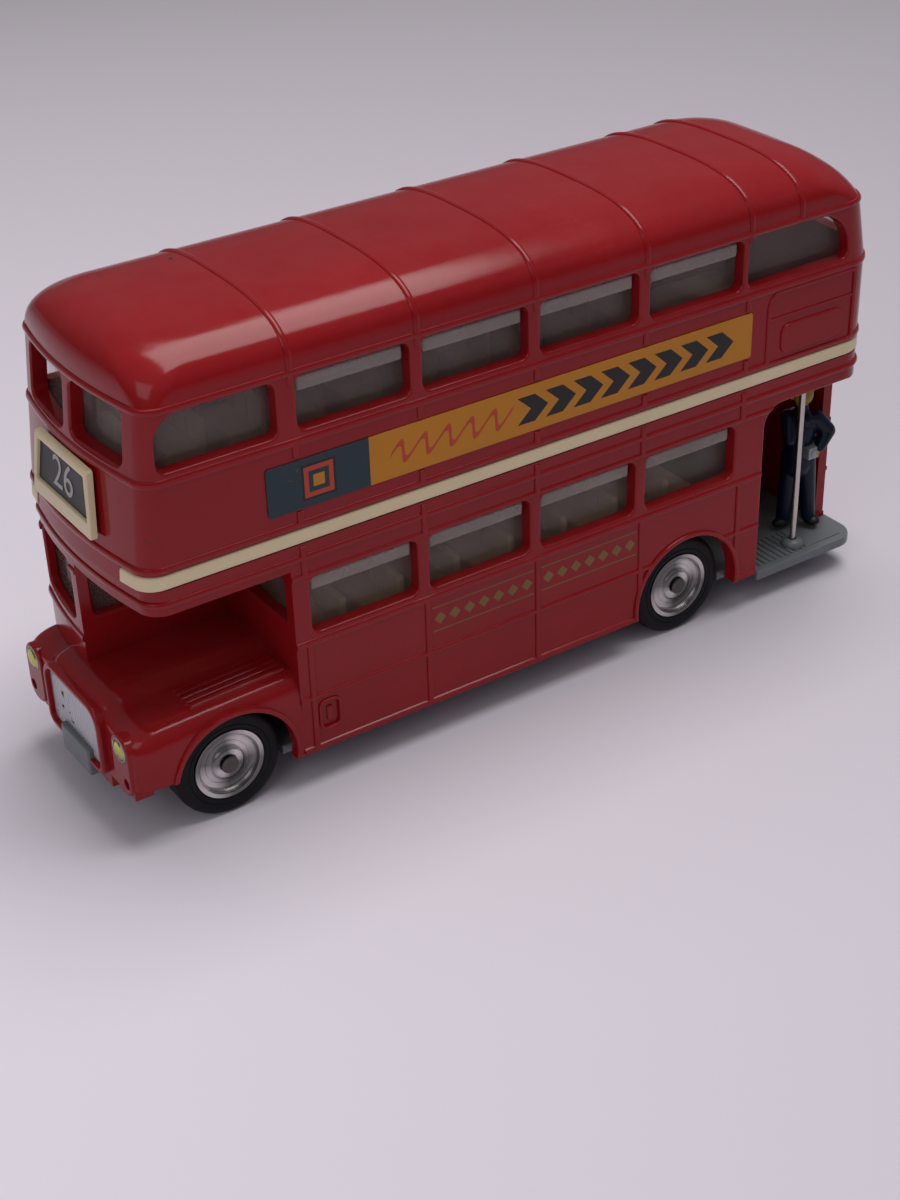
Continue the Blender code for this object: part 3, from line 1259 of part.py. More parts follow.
def limb(bm, start, end, start_radius, end_radius):
    """Add a tapering limb between two points."""
    start, end = Vector(start), Vector(end)
    span = end - start
    turn = span.to_track_quat("Z", "Y").to_matrix().to_4x4()
    matrix = Matrix.Translation((start + end) / 2) @ turn
    bmesh.ops.create_cone(
        bm,
        cap_ends=True,
        segments=10,
        radius1=start_radius,
        radius2=end_radius,
        depth=span.length,
        matrix=matrix,
    )


def figure_parts(item, parts):
    """Join the pieces of a figure one after another."""
    for name, bm in parts:
        add(item, name, bm)


def build_conductor(surface):
    """Build the standing conductor on the platform."""
    unit = CONDUCTOR_HEIGHT / 24
    floor = PLATFORM_TOP_Z + 0.35 * MM
    origin = Vector((CONDUCTOR_X, CONDUCTOR_Y, floor))

    def at(x, y, z):
        return origin + Vector((x, y, z)) * unit

    bm = bmesh.new()
    ellipsoid(bm, at(0, 0, 15.4), (1.9 * unit, 2.3 * unit, 3.9 * unit))
    figure = make_object("conductor", bm, surface)
    shapes = {
        "hips": lambda b: ellipsoid(b, at(0, 0, 11.6), (1.8 * unit, 2.1 * unit, 1.7 * unit)),
        "far_leg": lambda b: limb(b, at(-1.6, 0.9, 0.6), at(-0.5, 0.8, 11.4), 1.0 * unit, 1.35 * unit),
        "near_leg": lambda b: limb(b, at(2.2, -0.9, 0.6), at(0.6, -0.8, 11.4), 1.0 * unit, 1.35 * unit),
        "far_shoe": lambda b: ellipsoid(b, at(-1.8, 0.7, 0.8), (1.7 * unit, 1.0 * unit, 0.8 * unit)),
        "near_shoe": lambda b: ellipsoid(b, at(2.2, -1.3, 0.8), (1.2 * unit, 1.5 * unit, 0.8 * unit)),
        "head": lambda b: ellipsoid(b, at(0, -0.2, 21.3), (1.4 * unit, 1.3 * unit, 1.9 * unit)),
        "cap": lambda b: ellipsoid(b, at(0, -0.3, 22.9), (1.7 * unit, 1.7 * unit, 0.75 * unit)),
        "neck": lambda b: limb(b, at(0, 0, 18.0), at(0, -0.1, 20.4), 1.0 * unit, 0.8 * unit),
        "near_arm": lambda b: limb(b, at(1.2, -1.6, 18.1), at(3.3, -3.1, 15.4), 1.0 * unit, 0.85 * unit),
        "near_forearm": lambda b: limb(b, at(3.4, -3.2, 15.6), at(0.6, -2.9, 12.7), 0.85 * unit, 0.6 * unit),
        "far_arm": lambda b: limb(b, at(-1.3, 1.2, 18.1), at(-2.4, -0.6, 14.6), 1.0 * unit, 0.8 * unit),
        "machine": lambda b: box(
            b,
            at(-0.9, 0, 0).x,
            at(1.1, 0, 0).x,
            at(0, -3.1, 0).y,
            at(0, -1.2, 0).y,
            at(0, 0, 12.0).z,
            at(0, 0, 13.8).z,
        ),
    }
    parts = []
    for name, shape in shapes.items():
        part = bmesh.new()
        shape(part)
        parts.append((f"conductor_{name}", part))
    figure_parts(figure, parts)
    return figure


def build_driver(surface):
    """Build the seated driver in the cab."""
    unit = DRIVER_HEIGHT / 12
    origin = Vector((DRIVER_X, DRIVER_Y, CAB_FLOOR_Z + 0.2 * MM))

    def at(x, y, z):
        return origin + Vector((x, y, z)) * unit

    bm = bmesh.new()
    limb(bm, at(0.2, 0, 0), at(0, 0, 6.8), 2.4 * unit, 2.0 * unit)
    figure = make_object("driver", bm, surface)
    shapes = {
        "shoulders": lambda b: ellipsoid(b, at(0, 0, 6.6), (1.7 * unit, 2.9 * unit, 1.5 * unit)),
        "head": lambda b: ellipsoid(b, at(-0.1, 0, 9.4), (1.35 * unit, 1.3 * unit, 1.8 * unit)),
        "cap": lambda b: ellipsoid(b, at(-0.3, 0, 10.9), (1.75 * unit, 1.55 * unit, 0.7 * unit)),
        "arm_near": lambda b: limb(b, at(-0.2, -2.2, 6.4), at(-4.2, -1.5, 4.2), 0.85 * unit, 0.65 * unit),
        "arm_off": lambda b: limb(b, at(-0.2, 2.2, 6.4), at(-4.2, 1.5, 4.2), 0.85 * unit, 0.65 * unit),
    }
    parts = []
    for name, shape in shapes.items():
        part = bmesh.new()
        shape(part)
        parts.append((f"driver_{name}", part))
    figure_parts(figure, parts)
    return figure


def main():
    """Build every piece of the bus."""
    clear_scene()
    paint = material("red_paint", PAINT_RED, 0.22)
    cream = material("cream_plastic", CREAM, 0.35)
    seat = material("seat_plastic", SEAT_CREAM, 0.4)
    clear = material("clear_plastic", CLEAR, 0.1)
    grey = material("grey_paint", BASE_GREY, 0.35)
    steel = material("steel", (0.55, 0.55, 0.54, 1.0), 0.3, 1.0)
    dark_steel = material("dark_steel", (0.2, 0.19, 0.18, 1.0), 0.45, 1.0)
    aluminium = material("turned_aluminium", (0.82, 0.82, 0.82, 1.0), 0.25, 1.0)
    rubber = material("black_rubber", (0.02, 0.02, 0.022, 1.0), 0.7)
    jewel = material("jewel", (0.85, 0.72, 0.25, 1.0), 0.1)
    navy = material("figure_plastic", NAVY, 0.5)
    paper = material("paper", (0.75, 0.48, 0.1, 1.0), 0.55)
    black_paper = material("black_paper", (0.03, 0.035, 0.035, 1.0), 0.5)

    build_lower_body(paint)
    build_upper_body(paint)
    build_deck_moulding(cream)
    build_lower_seats(seat)
    build_staircase(seat)
    build_upper_glazing(clear)
    build_lower_glazing(clear)
    build_cab_glazing(clear)
    build_base(grey)
    build_destination_box(cream, black_paper)
    build_pole(steel)
    build_conductor(navy)
    build_driver(navy)
    for name, side in (("near", -1), ("off", 1)):
        build_advert(f"advert_{name}side", side, paper)
        build_headlamp(f"headlamp_{name}side", side, jewel)
    for name, x in (("front", FRONT_AXLE_X), ("rear", REAR_AXLE_X)):
        build_axle(f"{name}_axle", x, dark_steel)
        build_wheel(f"{name}_nearside", x, -1, aluminium, rubber)
        build_wheel(f"{name}_offside", x, 1, aluminium, rubber)
    for name, x in zip(("front", "rear"), RIVET_X):
        build_rivet(f"{name}_rivet", x, steel)


main()
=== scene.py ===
"""Looks of a toy double-deck bus: castings, clear mouldings, running gear, figures and labels.

Meshes are drawn in millimetres and scaled to metres when a piece is finished. The front of the bus
points to -X, its nearside to -Y and its roof to +Z.
"""

import json
import logging
import math
from dataclasses import dataclass
from enum import Enum
from functools import cache, partialmethod
from typing import Callable, Iterable, Sequence

import bmesh
import bpy
from mathutils import Matrix, Vector

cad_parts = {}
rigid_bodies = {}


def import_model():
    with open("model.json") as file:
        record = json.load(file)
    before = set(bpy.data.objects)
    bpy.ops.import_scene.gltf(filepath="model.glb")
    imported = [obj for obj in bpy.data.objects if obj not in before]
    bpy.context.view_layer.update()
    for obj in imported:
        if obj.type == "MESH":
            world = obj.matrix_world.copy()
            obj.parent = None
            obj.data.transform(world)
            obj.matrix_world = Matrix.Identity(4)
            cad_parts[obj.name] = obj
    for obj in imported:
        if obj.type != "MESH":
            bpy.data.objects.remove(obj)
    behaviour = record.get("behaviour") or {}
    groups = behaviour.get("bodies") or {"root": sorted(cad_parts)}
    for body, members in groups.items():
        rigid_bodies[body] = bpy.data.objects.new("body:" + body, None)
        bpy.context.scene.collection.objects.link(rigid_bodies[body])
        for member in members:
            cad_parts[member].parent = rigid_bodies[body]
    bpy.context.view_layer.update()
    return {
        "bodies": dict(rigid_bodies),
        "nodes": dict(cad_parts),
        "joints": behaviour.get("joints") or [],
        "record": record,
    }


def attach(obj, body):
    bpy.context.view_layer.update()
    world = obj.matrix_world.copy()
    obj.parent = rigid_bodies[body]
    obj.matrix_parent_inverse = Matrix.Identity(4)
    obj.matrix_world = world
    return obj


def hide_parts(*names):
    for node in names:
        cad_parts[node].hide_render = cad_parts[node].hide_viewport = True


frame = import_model()

LOG = logging.getLogger("bus")
MM = 0.001
FULL_TURN = 2 * math.pi
SIDES = (-1, 1)
SIDE_NAMES = ((-1, "nearside"), (1, "offside"))
FAR = 70.0  # where a cutter ends that only has to lie beyond the bus
PAST = 3.0  # how far a cutter reaches past what it opens

BMesh = bmesh.types.BMesh
Thing = bpy.types.Object
Tree = bpy.types.NodeTree
Node = bpy.types.Node
Socket = bpy.types.NodeSocket
Material = bpy.types.Material
Point = tuple[float, float, float]
Flat = tuple[float, float]
Flats = tuple[Flat, ...]
Colour = tuple[float, float, float]
Area = tuple[float, float, float, float]
Radii = float | Sequence[float]
Place = Callable[[float, float, float], Point]


class Join(Enum):
    """The ways in which one solid changes another."""

    ADD = "UNION"
    CUT = "DIFFERENCE"


class BodyName(Enum):
    """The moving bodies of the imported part."""

    BUS = "bus"
    FRONT_NEAR = "front_nearside_wheel"
    FRONT_OFF = "front_offside_wheel"
    REAR_NEAR = "rear_nearside_wheel"
    REAR_OFF = "rear_offside_wheel"


@dataclass(frozen=True)
class Sizes:
    """Sizes in millimetres that several sub-assemblies share."""

    half: float = 15.8
    wall: float = 1.8
    front_x: float = -57.5
    nose_x: float = -56.4
    rear_x: float = 57.0
    band_front_x: float = -54.3
    front_lean: float = 2.1
    front_bow: float = 1.9
    rear_bow: float = 0.8
    front_corner: float = 2.2
    rear_corner: float = 4.0
    first_pillar_x: float = -33.0
    bay_pitch: float = 16.7
    bays: int = 4
    window_length: float = 15.0
    window_round: float = 1.1
    pillar: float = 0.8
    skirt_z: float = 5.1
    mid_bead_z: float = 12.8
    lower_belt_z: float = 20.6
    lower_window_z: float = 21.7
    lower_window_height: float = 7.6
    cant_bead_z: float = 29.9
    frieze_z: float = 31.0
    frieze_bead_z: float = 32.4
    lower_top_z: float = 34.2
    band_z: float = 34.3
    band_height: float = 1.85
    upper_base_z: float = 36.25
    upper_belt_z: float = 47.3
    upper_window_z: float = 48.4
    upper_window_height: float = 6.7
    drip_z: float = 56.1
    crown_rise: float = 6.4
    bulkhead_x: float = -34.4
    bulkhead_depth: float = 1.6
    cab_side_y: float = 1.1
    cab_side_wall: float = 1.2
    cab_front_wall: float = 1.2
    cab_floor_z: float = 17.2
    platform_front_x: float = 38.3
    platform_head_z: float = 30.4
    platform_top_z: float = 5.0
    rear_wall_y: float = -9.3
    front_axle_x: float = -44.0
    rear_axle_x: float = 25.2
    axle_z: float = 7.1
    base_z: float = 4.7
    cab_set_back: float = 0.4
    bead_proud: float = 0.25
    lamp_y: float = 12.1
    lamp_z: float = 13.2
    lamp_radius: float = 1.5
    rivets_x: Flat = (-21.0, 9.0)

    @property
    def cab_x(self) -> float:
        """Give the front of the cab and of the saloon's frieze."""
        return self.band_front_x + self.cab_set_back

    @property
    def upper_window(self) -> Flat:
        """Give the foot and the head of the upper deck's windows."""
        return self.upper_window_z, self.upper_window_z + self.upper_window_height

    @property
    def lower_window(self) -> Flat:
        """Give the foot and the head of the saloon's windows."""
        return self.lower_window_z, self.lower_window_z + self.lower_window_height

    def pillar_x(self, index: int) -> float:
        """Give the front edge of a pillar, counted from the bulkhead."""
        return self.first_pillar_x + index * self.bay_pitch

    def bay_x(self, index: int) -> float:
        """Give the middle of the bay behind a pillar."""
        return self.pillar_x(index) + (self.bay_pitch + self.pillar / 2) / 2


BUS = Sizes()


# Mesh helpers


def ring(bm: BMesh, points: Iterable[Point]) -> list[bmesh.types.BMEdge]:
    """Add a closed ring of edges.

    Args:
        bm: The mesh to add to.
        points: The ring's corners in order.

    Returns:
        The ring's edges.
    """
    verts = [bm.verts.new(point) for point in points]
    return [bm.edges.new(pair) for pair in zip(verts, verts[1:] + verts[:1])]


def skin(bm: BMesh, loops: Sequence[Iterable[Point]]) -> BMesh:
    """Bridge a stack of rings into one closed solid.

    Args:
        bm: The mesh to add to.
        loops: Rings with the same number of points, in order.

    Returns:
        The same mesh.
    """
    rings = [ring(bm, loop) for loop in loops]
    made = []
    for low, high in zip(rings, rings[1:]):
        made += bmesh.ops.bridge_loops(bm, edges=low + high)["faces"]
    for end in (rings[0], rings[-1]):
        made += bmesh.ops.contextual_create(bm, geom=end)["faces"]
    bmesh.ops.recalc_face_normals(bm, faces=made)
    return bm


def split_quads(bm: BMesh) -> BMesh:
    """Split the four-sided faces of a twisted loft, so that every face is flat."""
    bmesh.ops.triangulate(bm, faces=[face for face in bm.faces if len(face.verts) == 4])
    return bm


def block(bm: BMesh, low: Point, high: Point, bevel: float = 0.0, segments: int = 2) -> None:
    """Add a box between two corners, with its edges rounded where a bevel is given.

    Args:
        bm: The mesh to add to.
        low: The lowest corner.
        high: The highest corner.
        bevel: The width of the rounded edges.
        segments: The steps of each rounded edge.
    """
    size = [b - a for a, b in zip(low, high)]
    centre = [(a + b) / 2 for a, b in zip(low, high)]
    matrix = Matrix.Translation(centre) @ Matrix.Diagonal((*size, 1.0))
    verts = bmesh.ops.create_cube(bm, size=1.0, matrix=matrix)["verts"]
    if bevel:
        edges = list({edge for vert in verts for edge in vert.link_edges})
        bmesh.ops.bevel(
            bm, geom=edges, offset=bevel, affect="EDGES", segments=segments, profile=0.5, material=-1
        )


def lathe(bm: BMesh, profile: Sequence[Flat], matrix: Matrix, steps: int = 96, closed: bool = True) -> None:
    """Spin a profile of (radius, distance) points about the local Z axis.

    Args:
        bm: The mesh to add to.
        profile: The points of the profile. A closed one returns to its start.
        matrix: The place and turn of the axis.
        steps: The number of steps round the axis.
        closed: Whether the profile is a closed loop. An open one starts and ends on the axis.
    """
    verts = [bm.verts.new((radius, 0.0, distance)) for radius, distance in profile]
    pairs = list(zip(verts, verts[1:] + verts[:1])) if closed else list(zip(verts, verts[1:]))
    edges = [bm.edges.new(pair) for pair in pairs]
    before = set(bm.faces)
    bmesh.ops.spin(
        bm, geom=verts + edges, cent=(0, 0, 0), axis=(0, 0, 1), angle=FULL_TURN, steps=steps, use_merge=True
    )
    faces = [face for face in bm.faces if face not in before]
    turned = list({vert for face in faces for vert in face.verts})
    bmesh.ops.transform(bm, matrix=matrix, verts=turned)
    bmesh.ops.remove_doubles(bm, verts=turned, dist=0.0005)
    faces = [face for face in bm.faces if face not in before]
    bmesh.ops.recalc_face_normals(bm, faces=faces)


def rounded(
    u0: float, u1: float, v0: float, v1: float, radii: Sequence[float], steps: int = 6
) -> list[Flat]:
    """List a rectangle's points with its own radius at each corner, from (u0, v0) round."""
    corners = ((u0, v0, 1, 1), (u1, v0, -1, 1), (u1, v1, -1, -1), (u0, v1, 1, -1))
    points = []
    for index, ((u, v, su, sv), radius) in enumerate(zip(corners, radii)):
        start = math.pi + index * math.pi / 2
        for step in range(steps + 1):
            angle = start + step * math.pi / 2 / steps
            turn = (math.cos(angle), math.sin(angle))
            points.append((u + su * radius + radius * turn[0], v + sv * radius + radius * turn[1]))
    return points


def soften(points: Sequence[Flat], rounds: int = 2) -> list[Flat]:
    """Cut the corners of an open line, with its two ends kept."""
    for _ in range(rounds):
        out = [points[0]]
        for a, b in zip(points, points[1:]):
            out.append((a[0] * 0.75 + b[0] * 0.25, a[1] * 0.75 + b[1] * 0.25))
            out.append((a[0] * 0.25 + b[0] * 0.75, a[1] * 0.25 + b[1] * 0.75))
        points = out + [points[-1]]
    return list(points)


def placed(name: str, data: bpy.types.ID) -> Thing:
    """Make an object from its data and put it in the scene."""
    made = bpy.data.objects.new(name, data)
    bpy.context.scene.collection.objects.link(made)
    return made


def solid(bm: BMesh, name: str = "solid") -> Thing:
    """Turn a mesh into an object that is still being worked on."""
    mesh = bpy.data.meshes.new(name)
    bm.to_mesh(mesh)
    bm.free()
    return placed(name, mesh)


def bake(target: Thing) -> Thing:
    """Keep what an object's modifiers make of its mesh as its mesh."""
    depsgraph = bpy.context.evaluated_depsgraph_get()
    old, baked = target.data, bpy.data.meshes.new_from_object(target.evaluated_get(depsgraph))
    target.modifiers.clear()
    target.data = baked
    bpy.data.meshes.remove(old)
    return target


def change(target: Thing, join: Join, *tools: BMesh) -> Thing:
    """Add shapes to a solid or cut them away one after another, and keep the result as its mesh.

    Args:
        target: The solid to change.
        join: What to do with the shapes.
        tools: The shapes. They are used up.

    Returns:
        The changed solid.
    """
    for tool in tools:
        helper = solid(tool, "tool")
        step = target.modifiers.new("step", "BOOLEAN")
        step.operation = join.value
        step.object = helper
        step.solver = "EXACT"
        bake(target)
        spent = helper.data
        bpy.data.objects.remove(helper)
        bpy.data.meshes.remove(spent)
    return target


# Finishes


class Graph:
    """A short way to write a material's nodes."""

    def __init__(self, tree: Tree) -> None:
        """Keep the tree that the nodes go to."""
        self.tree = tree

    def add(self, kind: str, **values: object) -> Node:
        """Add a node and set its properties, or its inputs where a name is an input's.

        Args:
            kind: The node's type.
            values: Properties or inputs, with underscores for spaces. A socket is linked to its input.

        Returns:
            The node.
        """
        node = self.tree.nodes.new(kind)
        for key, value in values.items():
            if hasattr(node, key):
                setattr(node, key, value)
            else:
                self.feed(node.inputs[key.replace("_", " ")], value)
        return node

    def link(self, source: Socket, target: Socket) -> None:
        """Join two sockets."""
        self.tree.links.new(source, target)

    def maths(self, operation: str, *inputs: object, clamp: bool = False) -> Socket:
        """Add a Math node whose inputs are sockets or numbers, and give its output."""
        node = self.add("ShaderNodeMath", operation=operation, use_clamp=clamp)
        for socket, value in zip(node.inputs, inputs):
            self.feed(socket, value)
        return node.outputs[0]

    times = partialmethod(maths, "MULTIPLY")
    plus = partialmethod(maths, "ADD")
    minus = partialmethod(maths, "SUBTRACT")
    under = partialmethod(maths, "LESS_THAN")
    over = partialmethod(maths, "GREATER_THAN")
    most = partialmethod(maths, "MAXIMUM")
    plain = partialmethod(maths, "ABSOLUTE")

    def feed(self, socket: Socket, value: object) -> None:
        """Link a socket to another, or give it a number, a vector or a colour."""
        if isinstance(value, Socket):
            self.link(value, socket)
        elif isinstance(value, tuple):
            socket.default_value = (*value, 1.0)[: len(socket.default_value)]
        else:
            socket.default_value = value

    def size(self, *inputs: object) -> Socket:
        """Give the length of a flat vector."""
        return self.maths("SQRT", self.plus(*(self.times(value, value) for value in inputs)))

    def between(self, value: object, low: float, high: float) -> Socket:
        """Give 1 where a value lies between two limits."""
        return self.times(self.over(value, low), self.under(value, high))

    def place(self) -> Socket:
        """Give the object's own coordinates."""
        return self.add("ShaderNodeTexCoord").outputs["Object"]

    def split(self, vector: Socket) -> Sequence[Socket]:
        """Split a vector into its three parts."""
        return self.add("ShaderNodeSeparateXYZ", Vector=vector).outputs

    def noise(self, **values: object) -> Socket:
        """Add a noise texture, in the object's own coordinates unless others are given.

        Args:
            values: The texture's properties and inputs.

        Returns:
            The noise between 0 and 1.
        """
        if "W" not in values and "Vector" not in values:
            values["Vector"] = self.place()
        return self.add("ShaderNodeTexNoise", **values).outputs["Fac"]

    def relief(self, height: Socket, node: Node, strength: float, distance: float) -> None:
        """Give a shader node a bump from a height."""
        bump = self.add("ShaderNodeBump", Height=height, Strength=strength, Distance=distance)
        self.link(bump.outputs["Normal"], node.inputs["Normal"])

    def mix(self, factor: object, first: object, second: object) -> Socket:
        """Mix two colours by a factor and give the result."""
        node = self.add("ShaderNodeMix", data_type="RGBA")
        for index, value in ((0, factor), (6, first), (7, second)):
            self.feed(node.inputs[index], value)
        return node.outputs[2]

    def ramp(self, value: Socket, low: float, high: float) -> Socket:
        """Stretch a value between two limits to 0 and 1."""
        return self.add("ShaderNodeMapRange", Value=value, From_Min=low, From_Max=high).outputs["Result"]


def group(name: str, output: str, **inputs: float) -> tuple[Graph, Sequence[Socket], Socket]:
    """Start a shader node group with number sockets.

    Args:
        name: The group's name.
        output: The output's name.
        inputs: The inputs with their default values.

    Returns:
        The group's graph, its input sockets and its output socket.
    """
    tree = bpy.data.node_groups.new(name, "ShaderNodeTree")
    for key, value in inputs.items():
        socket = tree.interface.new_socket(key, in_out="INPUT", socket_type="NodeSocketFloat")
        socket.default_value = value
    tree.interface.new_socket(output, in_out="OUTPUT", socket_type="NodeSocketFloat")
    given, result = tree.nodes.new("NodeGroupInput"), tree.nodes.new("NodeGroupOutput")
    return Graph(tree), given.outputs, result.inputs[output]


# Effects that several finishes use, each a node group that is built once


@cache
def peel_effect() -> Tree:
    """Build the small waves that sprayed enamel or a moulding shows, with a finer grain over them."""
    graph, given, result = group("surface_peel", "Height", Scale=900.0, Grain=6000.0, Share=0.3)
    waves = graph.noise(Scale=given["Scale"], Detail=2.0, Roughness=0.5)
    grain = graph.noise(Scale=given["Grain"], Detail=3.0, Roughness=0.6)
    graph.link(graph.plus(waves, graph.times(grain, given["Share"])), result)
    return graph.tree


@cache
def chips_effect() -> Tree:
    """Build sparse small chips: specks of noise that only show where a broad noise is high."""
    graph, given, result = group("chips", "Mask", Scale=700.0, Spread=60.0, Limit=0.7)
    speck = graph.noise(Scale=given["Scale"], Detail=3.0, Roughness=0.55)
    broad = graph.noise(Scale=given["Spread"], Detail=1.0)
    over = graph.minus(graph.times(speck, broad), graph.times(given["Limit"], given["Limit"]))
    graph.link(graph.times(over, 60.0, clamp=True), result)
    return graph.tree


@cache
def edge_wear_effect() -> Tree:
    """Build wear on rounded edges: the mesh's own edge mark broken up by noise."""
    graph, given, result = group("edge_wear", "Mask", Scale=500.0, Limit=0.62)
    noise = graph.noise(Scale=given["Scale"], Detail=4.0, Roughness=0.65)
    mark = graph.add("ShaderNodeAttribute", attribute_name="edge_mark").outputs["Fac"]
    sharp = graph.times(graph.minus(noise, given["Limit"]), 40.0, clamp=True)
    graph.link(graph.times(sharp, mark, clamp=True), result)
    return graph.tree


@cache
def dust_effect() -> Tree:
    """Build dust that lies on faces that look up, thicker where a broad noise is high."""
    graph, given, result = group("dust", "Mask", Scale=220.0, Amount=0.3)
    noise = graph.noise(Scale=given["Scale"], Detail=5.0, Roughness=0.65)
    normal = graph.add("ShaderNodeNewGeometry").outputs["Normal"]
    up = graph.most(graph.split(normal)["Z"], 0.12)
    thick = graph.times(up, graph.ramp(noise, 0.35, 0.75))
    graph.link(graph.times(thick, given["Amount"], clamp=True), result)
    return graph.tree


@cache
def scratches_effect() -> Tree:
    """Build fine scratches: thin lines where a stretched noise crosses its middle."""
    graph, given, result = group("scratches", "Mask", Scale=160.0, Width=0.004, Amount=1.0)
    turn = graph.add(
        "ShaderNodeMapping", Vector=graph.place(), Rotation=(0.3, 0.5, 0.9), Scale=(1.0, 6.0, 6.0)
    )
    noise = graph.noise(Vector=turn.outputs[0], Scale=given["Scale"], Detail=1.0)
    off = graph.plain(graph.minus(noise, 0.5))
    gate = graph.ramp(graph.noise(Scale=90.0, Detail=2.0), 0.56, 0.66)
    line = graph.times(graph.under(off, given["Width"]), gate)
    graph.link(graph.times(line, given["Amount"], clamp=True), result)
    return graph.tree


@dataclass(frozen=True)
class Finish:
    """A finish with its colour and the plain values of its shader and its wear."""

    name: str
    colour: Colour
    roughness: float = 0.4
    metallic: float = 0.0
    specular: float = 0.5
    peel: float = 0.0
    peel_scale: float = 900.0
    variation: float = 0.08
    dust: float = 0.0
    dust_colour: Colour = (0.42, 0.38, 0.34)
    chip_limit: float = 0.0
    edge_limit: float = 0.0
    bare_colour: Colour = (0.3, 0.29, 0.29)
    scratches: float = 0.0

    def shader(self) -> tuple[Material, Graph, Node]:
        """Start the material.

        Returns:
            The material, its graph and its shader node.
        """
        made = bpy.data.materials.new(self.name)
        made.use_nodes = True
        node = made.node_tree.nodes["Principled BSDF"]
        node.inputs["Metallic"].default_value = self.metallic
        node.inputs["Specular IOR Level"].default_value = self.specular
        made.diffuse_color = (*self.colour, 1.0)
        return made, Graph(made.node_tree), node

    def effect(self, graph: Graph, tree: Tree, **values: float) -> Socket:
        """Place a shared effect with this finish's own values and give its output."""
        return graph.add("ShaderNodeGroup", node_tree=tree, **values).outputs[0]

    def toned(self, share: float, lift: float = 0.0) -> Colour:
        """Give the finish's colour lighter or darker by a share."""
        return tuple(min(1.0, channel * share + lift) for channel in self.colour)

    def base_colour(self, graph: Graph) -> Socket:
        """Give the finish's colour with a slow change of tone."""
        tone = graph.ramp(graph.noise(Scale=45.0, Detail=3.0, Roughness=0.6), 0.3, 0.7)
        return graph.mix(tone, self.toned(1 - self.variation), self.toned(1 + self.variation))

    def build(self) -> Material:
        """Build the material with its wear, dust and surface relief."""
        made, graph, node = self.shader()
        colour = self.base_colour(graph)
        low, high = self.roughness * 0.8, min(1.0, self.roughness * 1.25)
        roughness = graph.plus(graph.times(graph.noise(Scale=300.0, Detail=4.0), high - low), low)
        bare: list[Socket] = []
        if self.chip_limit:
            bare.append(self.effect(graph, chips_effect(), Limit=self.chip_limit))
        if self.edge_limit:
            bare.append(self.effect(graph, edge_wear_effect(), Limit=self.edge_limit))
        layers: list[tuple[Socket, Colour, float]] = []
        if bare:
            mask = graph.most(*bare) if len(bare) > 1 else bare[0]
            layers.append((mask, self.bare_colour, 0.25))
            if not self.metallic:
                graph.link(graph.times(mask, 0.7), node.inputs["Metallic"])
        if self.scratches:
            mask = self.effect(graph, scratches_effect(), Amount=self.scratches)
            layers.append((mask, self.toned(1.6, 0.03), 0.3))
        if self.dust:
            layers.append((self.effect(graph, dust_effect(), Amount=self.dust), self.dust_colour, 0.5))
        for mask, tone, dulled in layers:
            colour = graph.mix(mask, colour, tone)
            roughness = graph.plus(roughness, graph.times(mask, dulled), clamp=True)
        graph.link(colour, node.inputs["Base Color"])
        graph.link(roughness, node.inputs["Roughness"])
        if self.peel:
            height = self.effect(graph, peel_effect(), Scale=self.peel_scale)
            graph.relief(height, node, 1.0, self.peel * MM)
        self.extend(graph, node)
        return made

    def extend(self, graph: Graph, node: Node) -> None:
        """Leave the plain finish as it is. A special finish adds its own nodes here."""


@dataclass(frozen=True)
class ClearFinish(Finish):
    """Clear moulding: a thin grey tint with a glossy skin."""

    alpha: float = 0.2

    def extend(self, graph: Graph, node: Node) -> None:
        """Let the moulding be seen through, a little less where it is dusty or scuffed."""
        haze = graph.ramp(graph.noise(Scale=160.0, Detail=5.0, Roughness=0.6), 0.35, 0.8)
        graph.link(graph.plus(graph.times(haze, 0.1), self.alpha), node.inputs["Alpha"])
        node.inputs["Specular IOR Level"].default_value = 0.8
        node.inputs["Transmission Weight"].default_value = 0.0


@dataclass(frozen=True)
class TurnedFinish(Finish):
    """Turned metal: fine rings about the wheel's own axis, and a painted highlight on two opposite sectors
    with painted shade between them.
    """

    centre: Point = (0.0, 0.0, 0.0)
    # How dark the painted shade between the painted highlights is, and the turn of the painted highlight.
    shade: float = 0.28
    shade_turn: float = 1.4

    def across(self, graph: Graph) -> tuple[Socket, Socket]:
        """Give the place along and up, seen from the wheel's own centre."""
        shift = tuple(-value * MM for value in self.centre)
        place = graph.add("ShaderNodeMapping", vector_type="POINT", Vector=graph.place(), Location=shift)
        split = graph.split(place.outputs[0])
        return split["X"], split["Z"]

    def base_colour(self, graph: Graph) -> Socket:
        """Paint a highlight on two opposite sectors and shade on the others, as turned metal shows under a
        lamp.
        """
        x, z = self.across(graph)
        turned = graph.plus(graph.times(graph.maths("ARCTAN2", z, x), 2.0), -self.shade_turn)
        # Painted highlight: two bright sectors that stand in for a lamp's sheen on turned metal.
        painted_highlight = graph.ramp(graph.maths("COSINE", turned), -0.2, 0.9)
        return graph.mix(painted_highlight, self.toned(self.shade), super().base_colour(graph))

    def extend(self, graph: Graph, node: Node) -> None:
        """Add the rings that a lathe tool leaves."""
        radius = graph.size(*self.across(graph))
        rings = graph.noise(noise_dimensions="1D", W=radius, Scale=9000.0, Detail=3.0, Roughness=0.7)
        graph.relief(rings, node, 0.8, 0.012 * MM)
        graph.link(graph.plus(graph.times(rings, 0.3), self.roughness - 0.1), node.inputs["Roughness"])


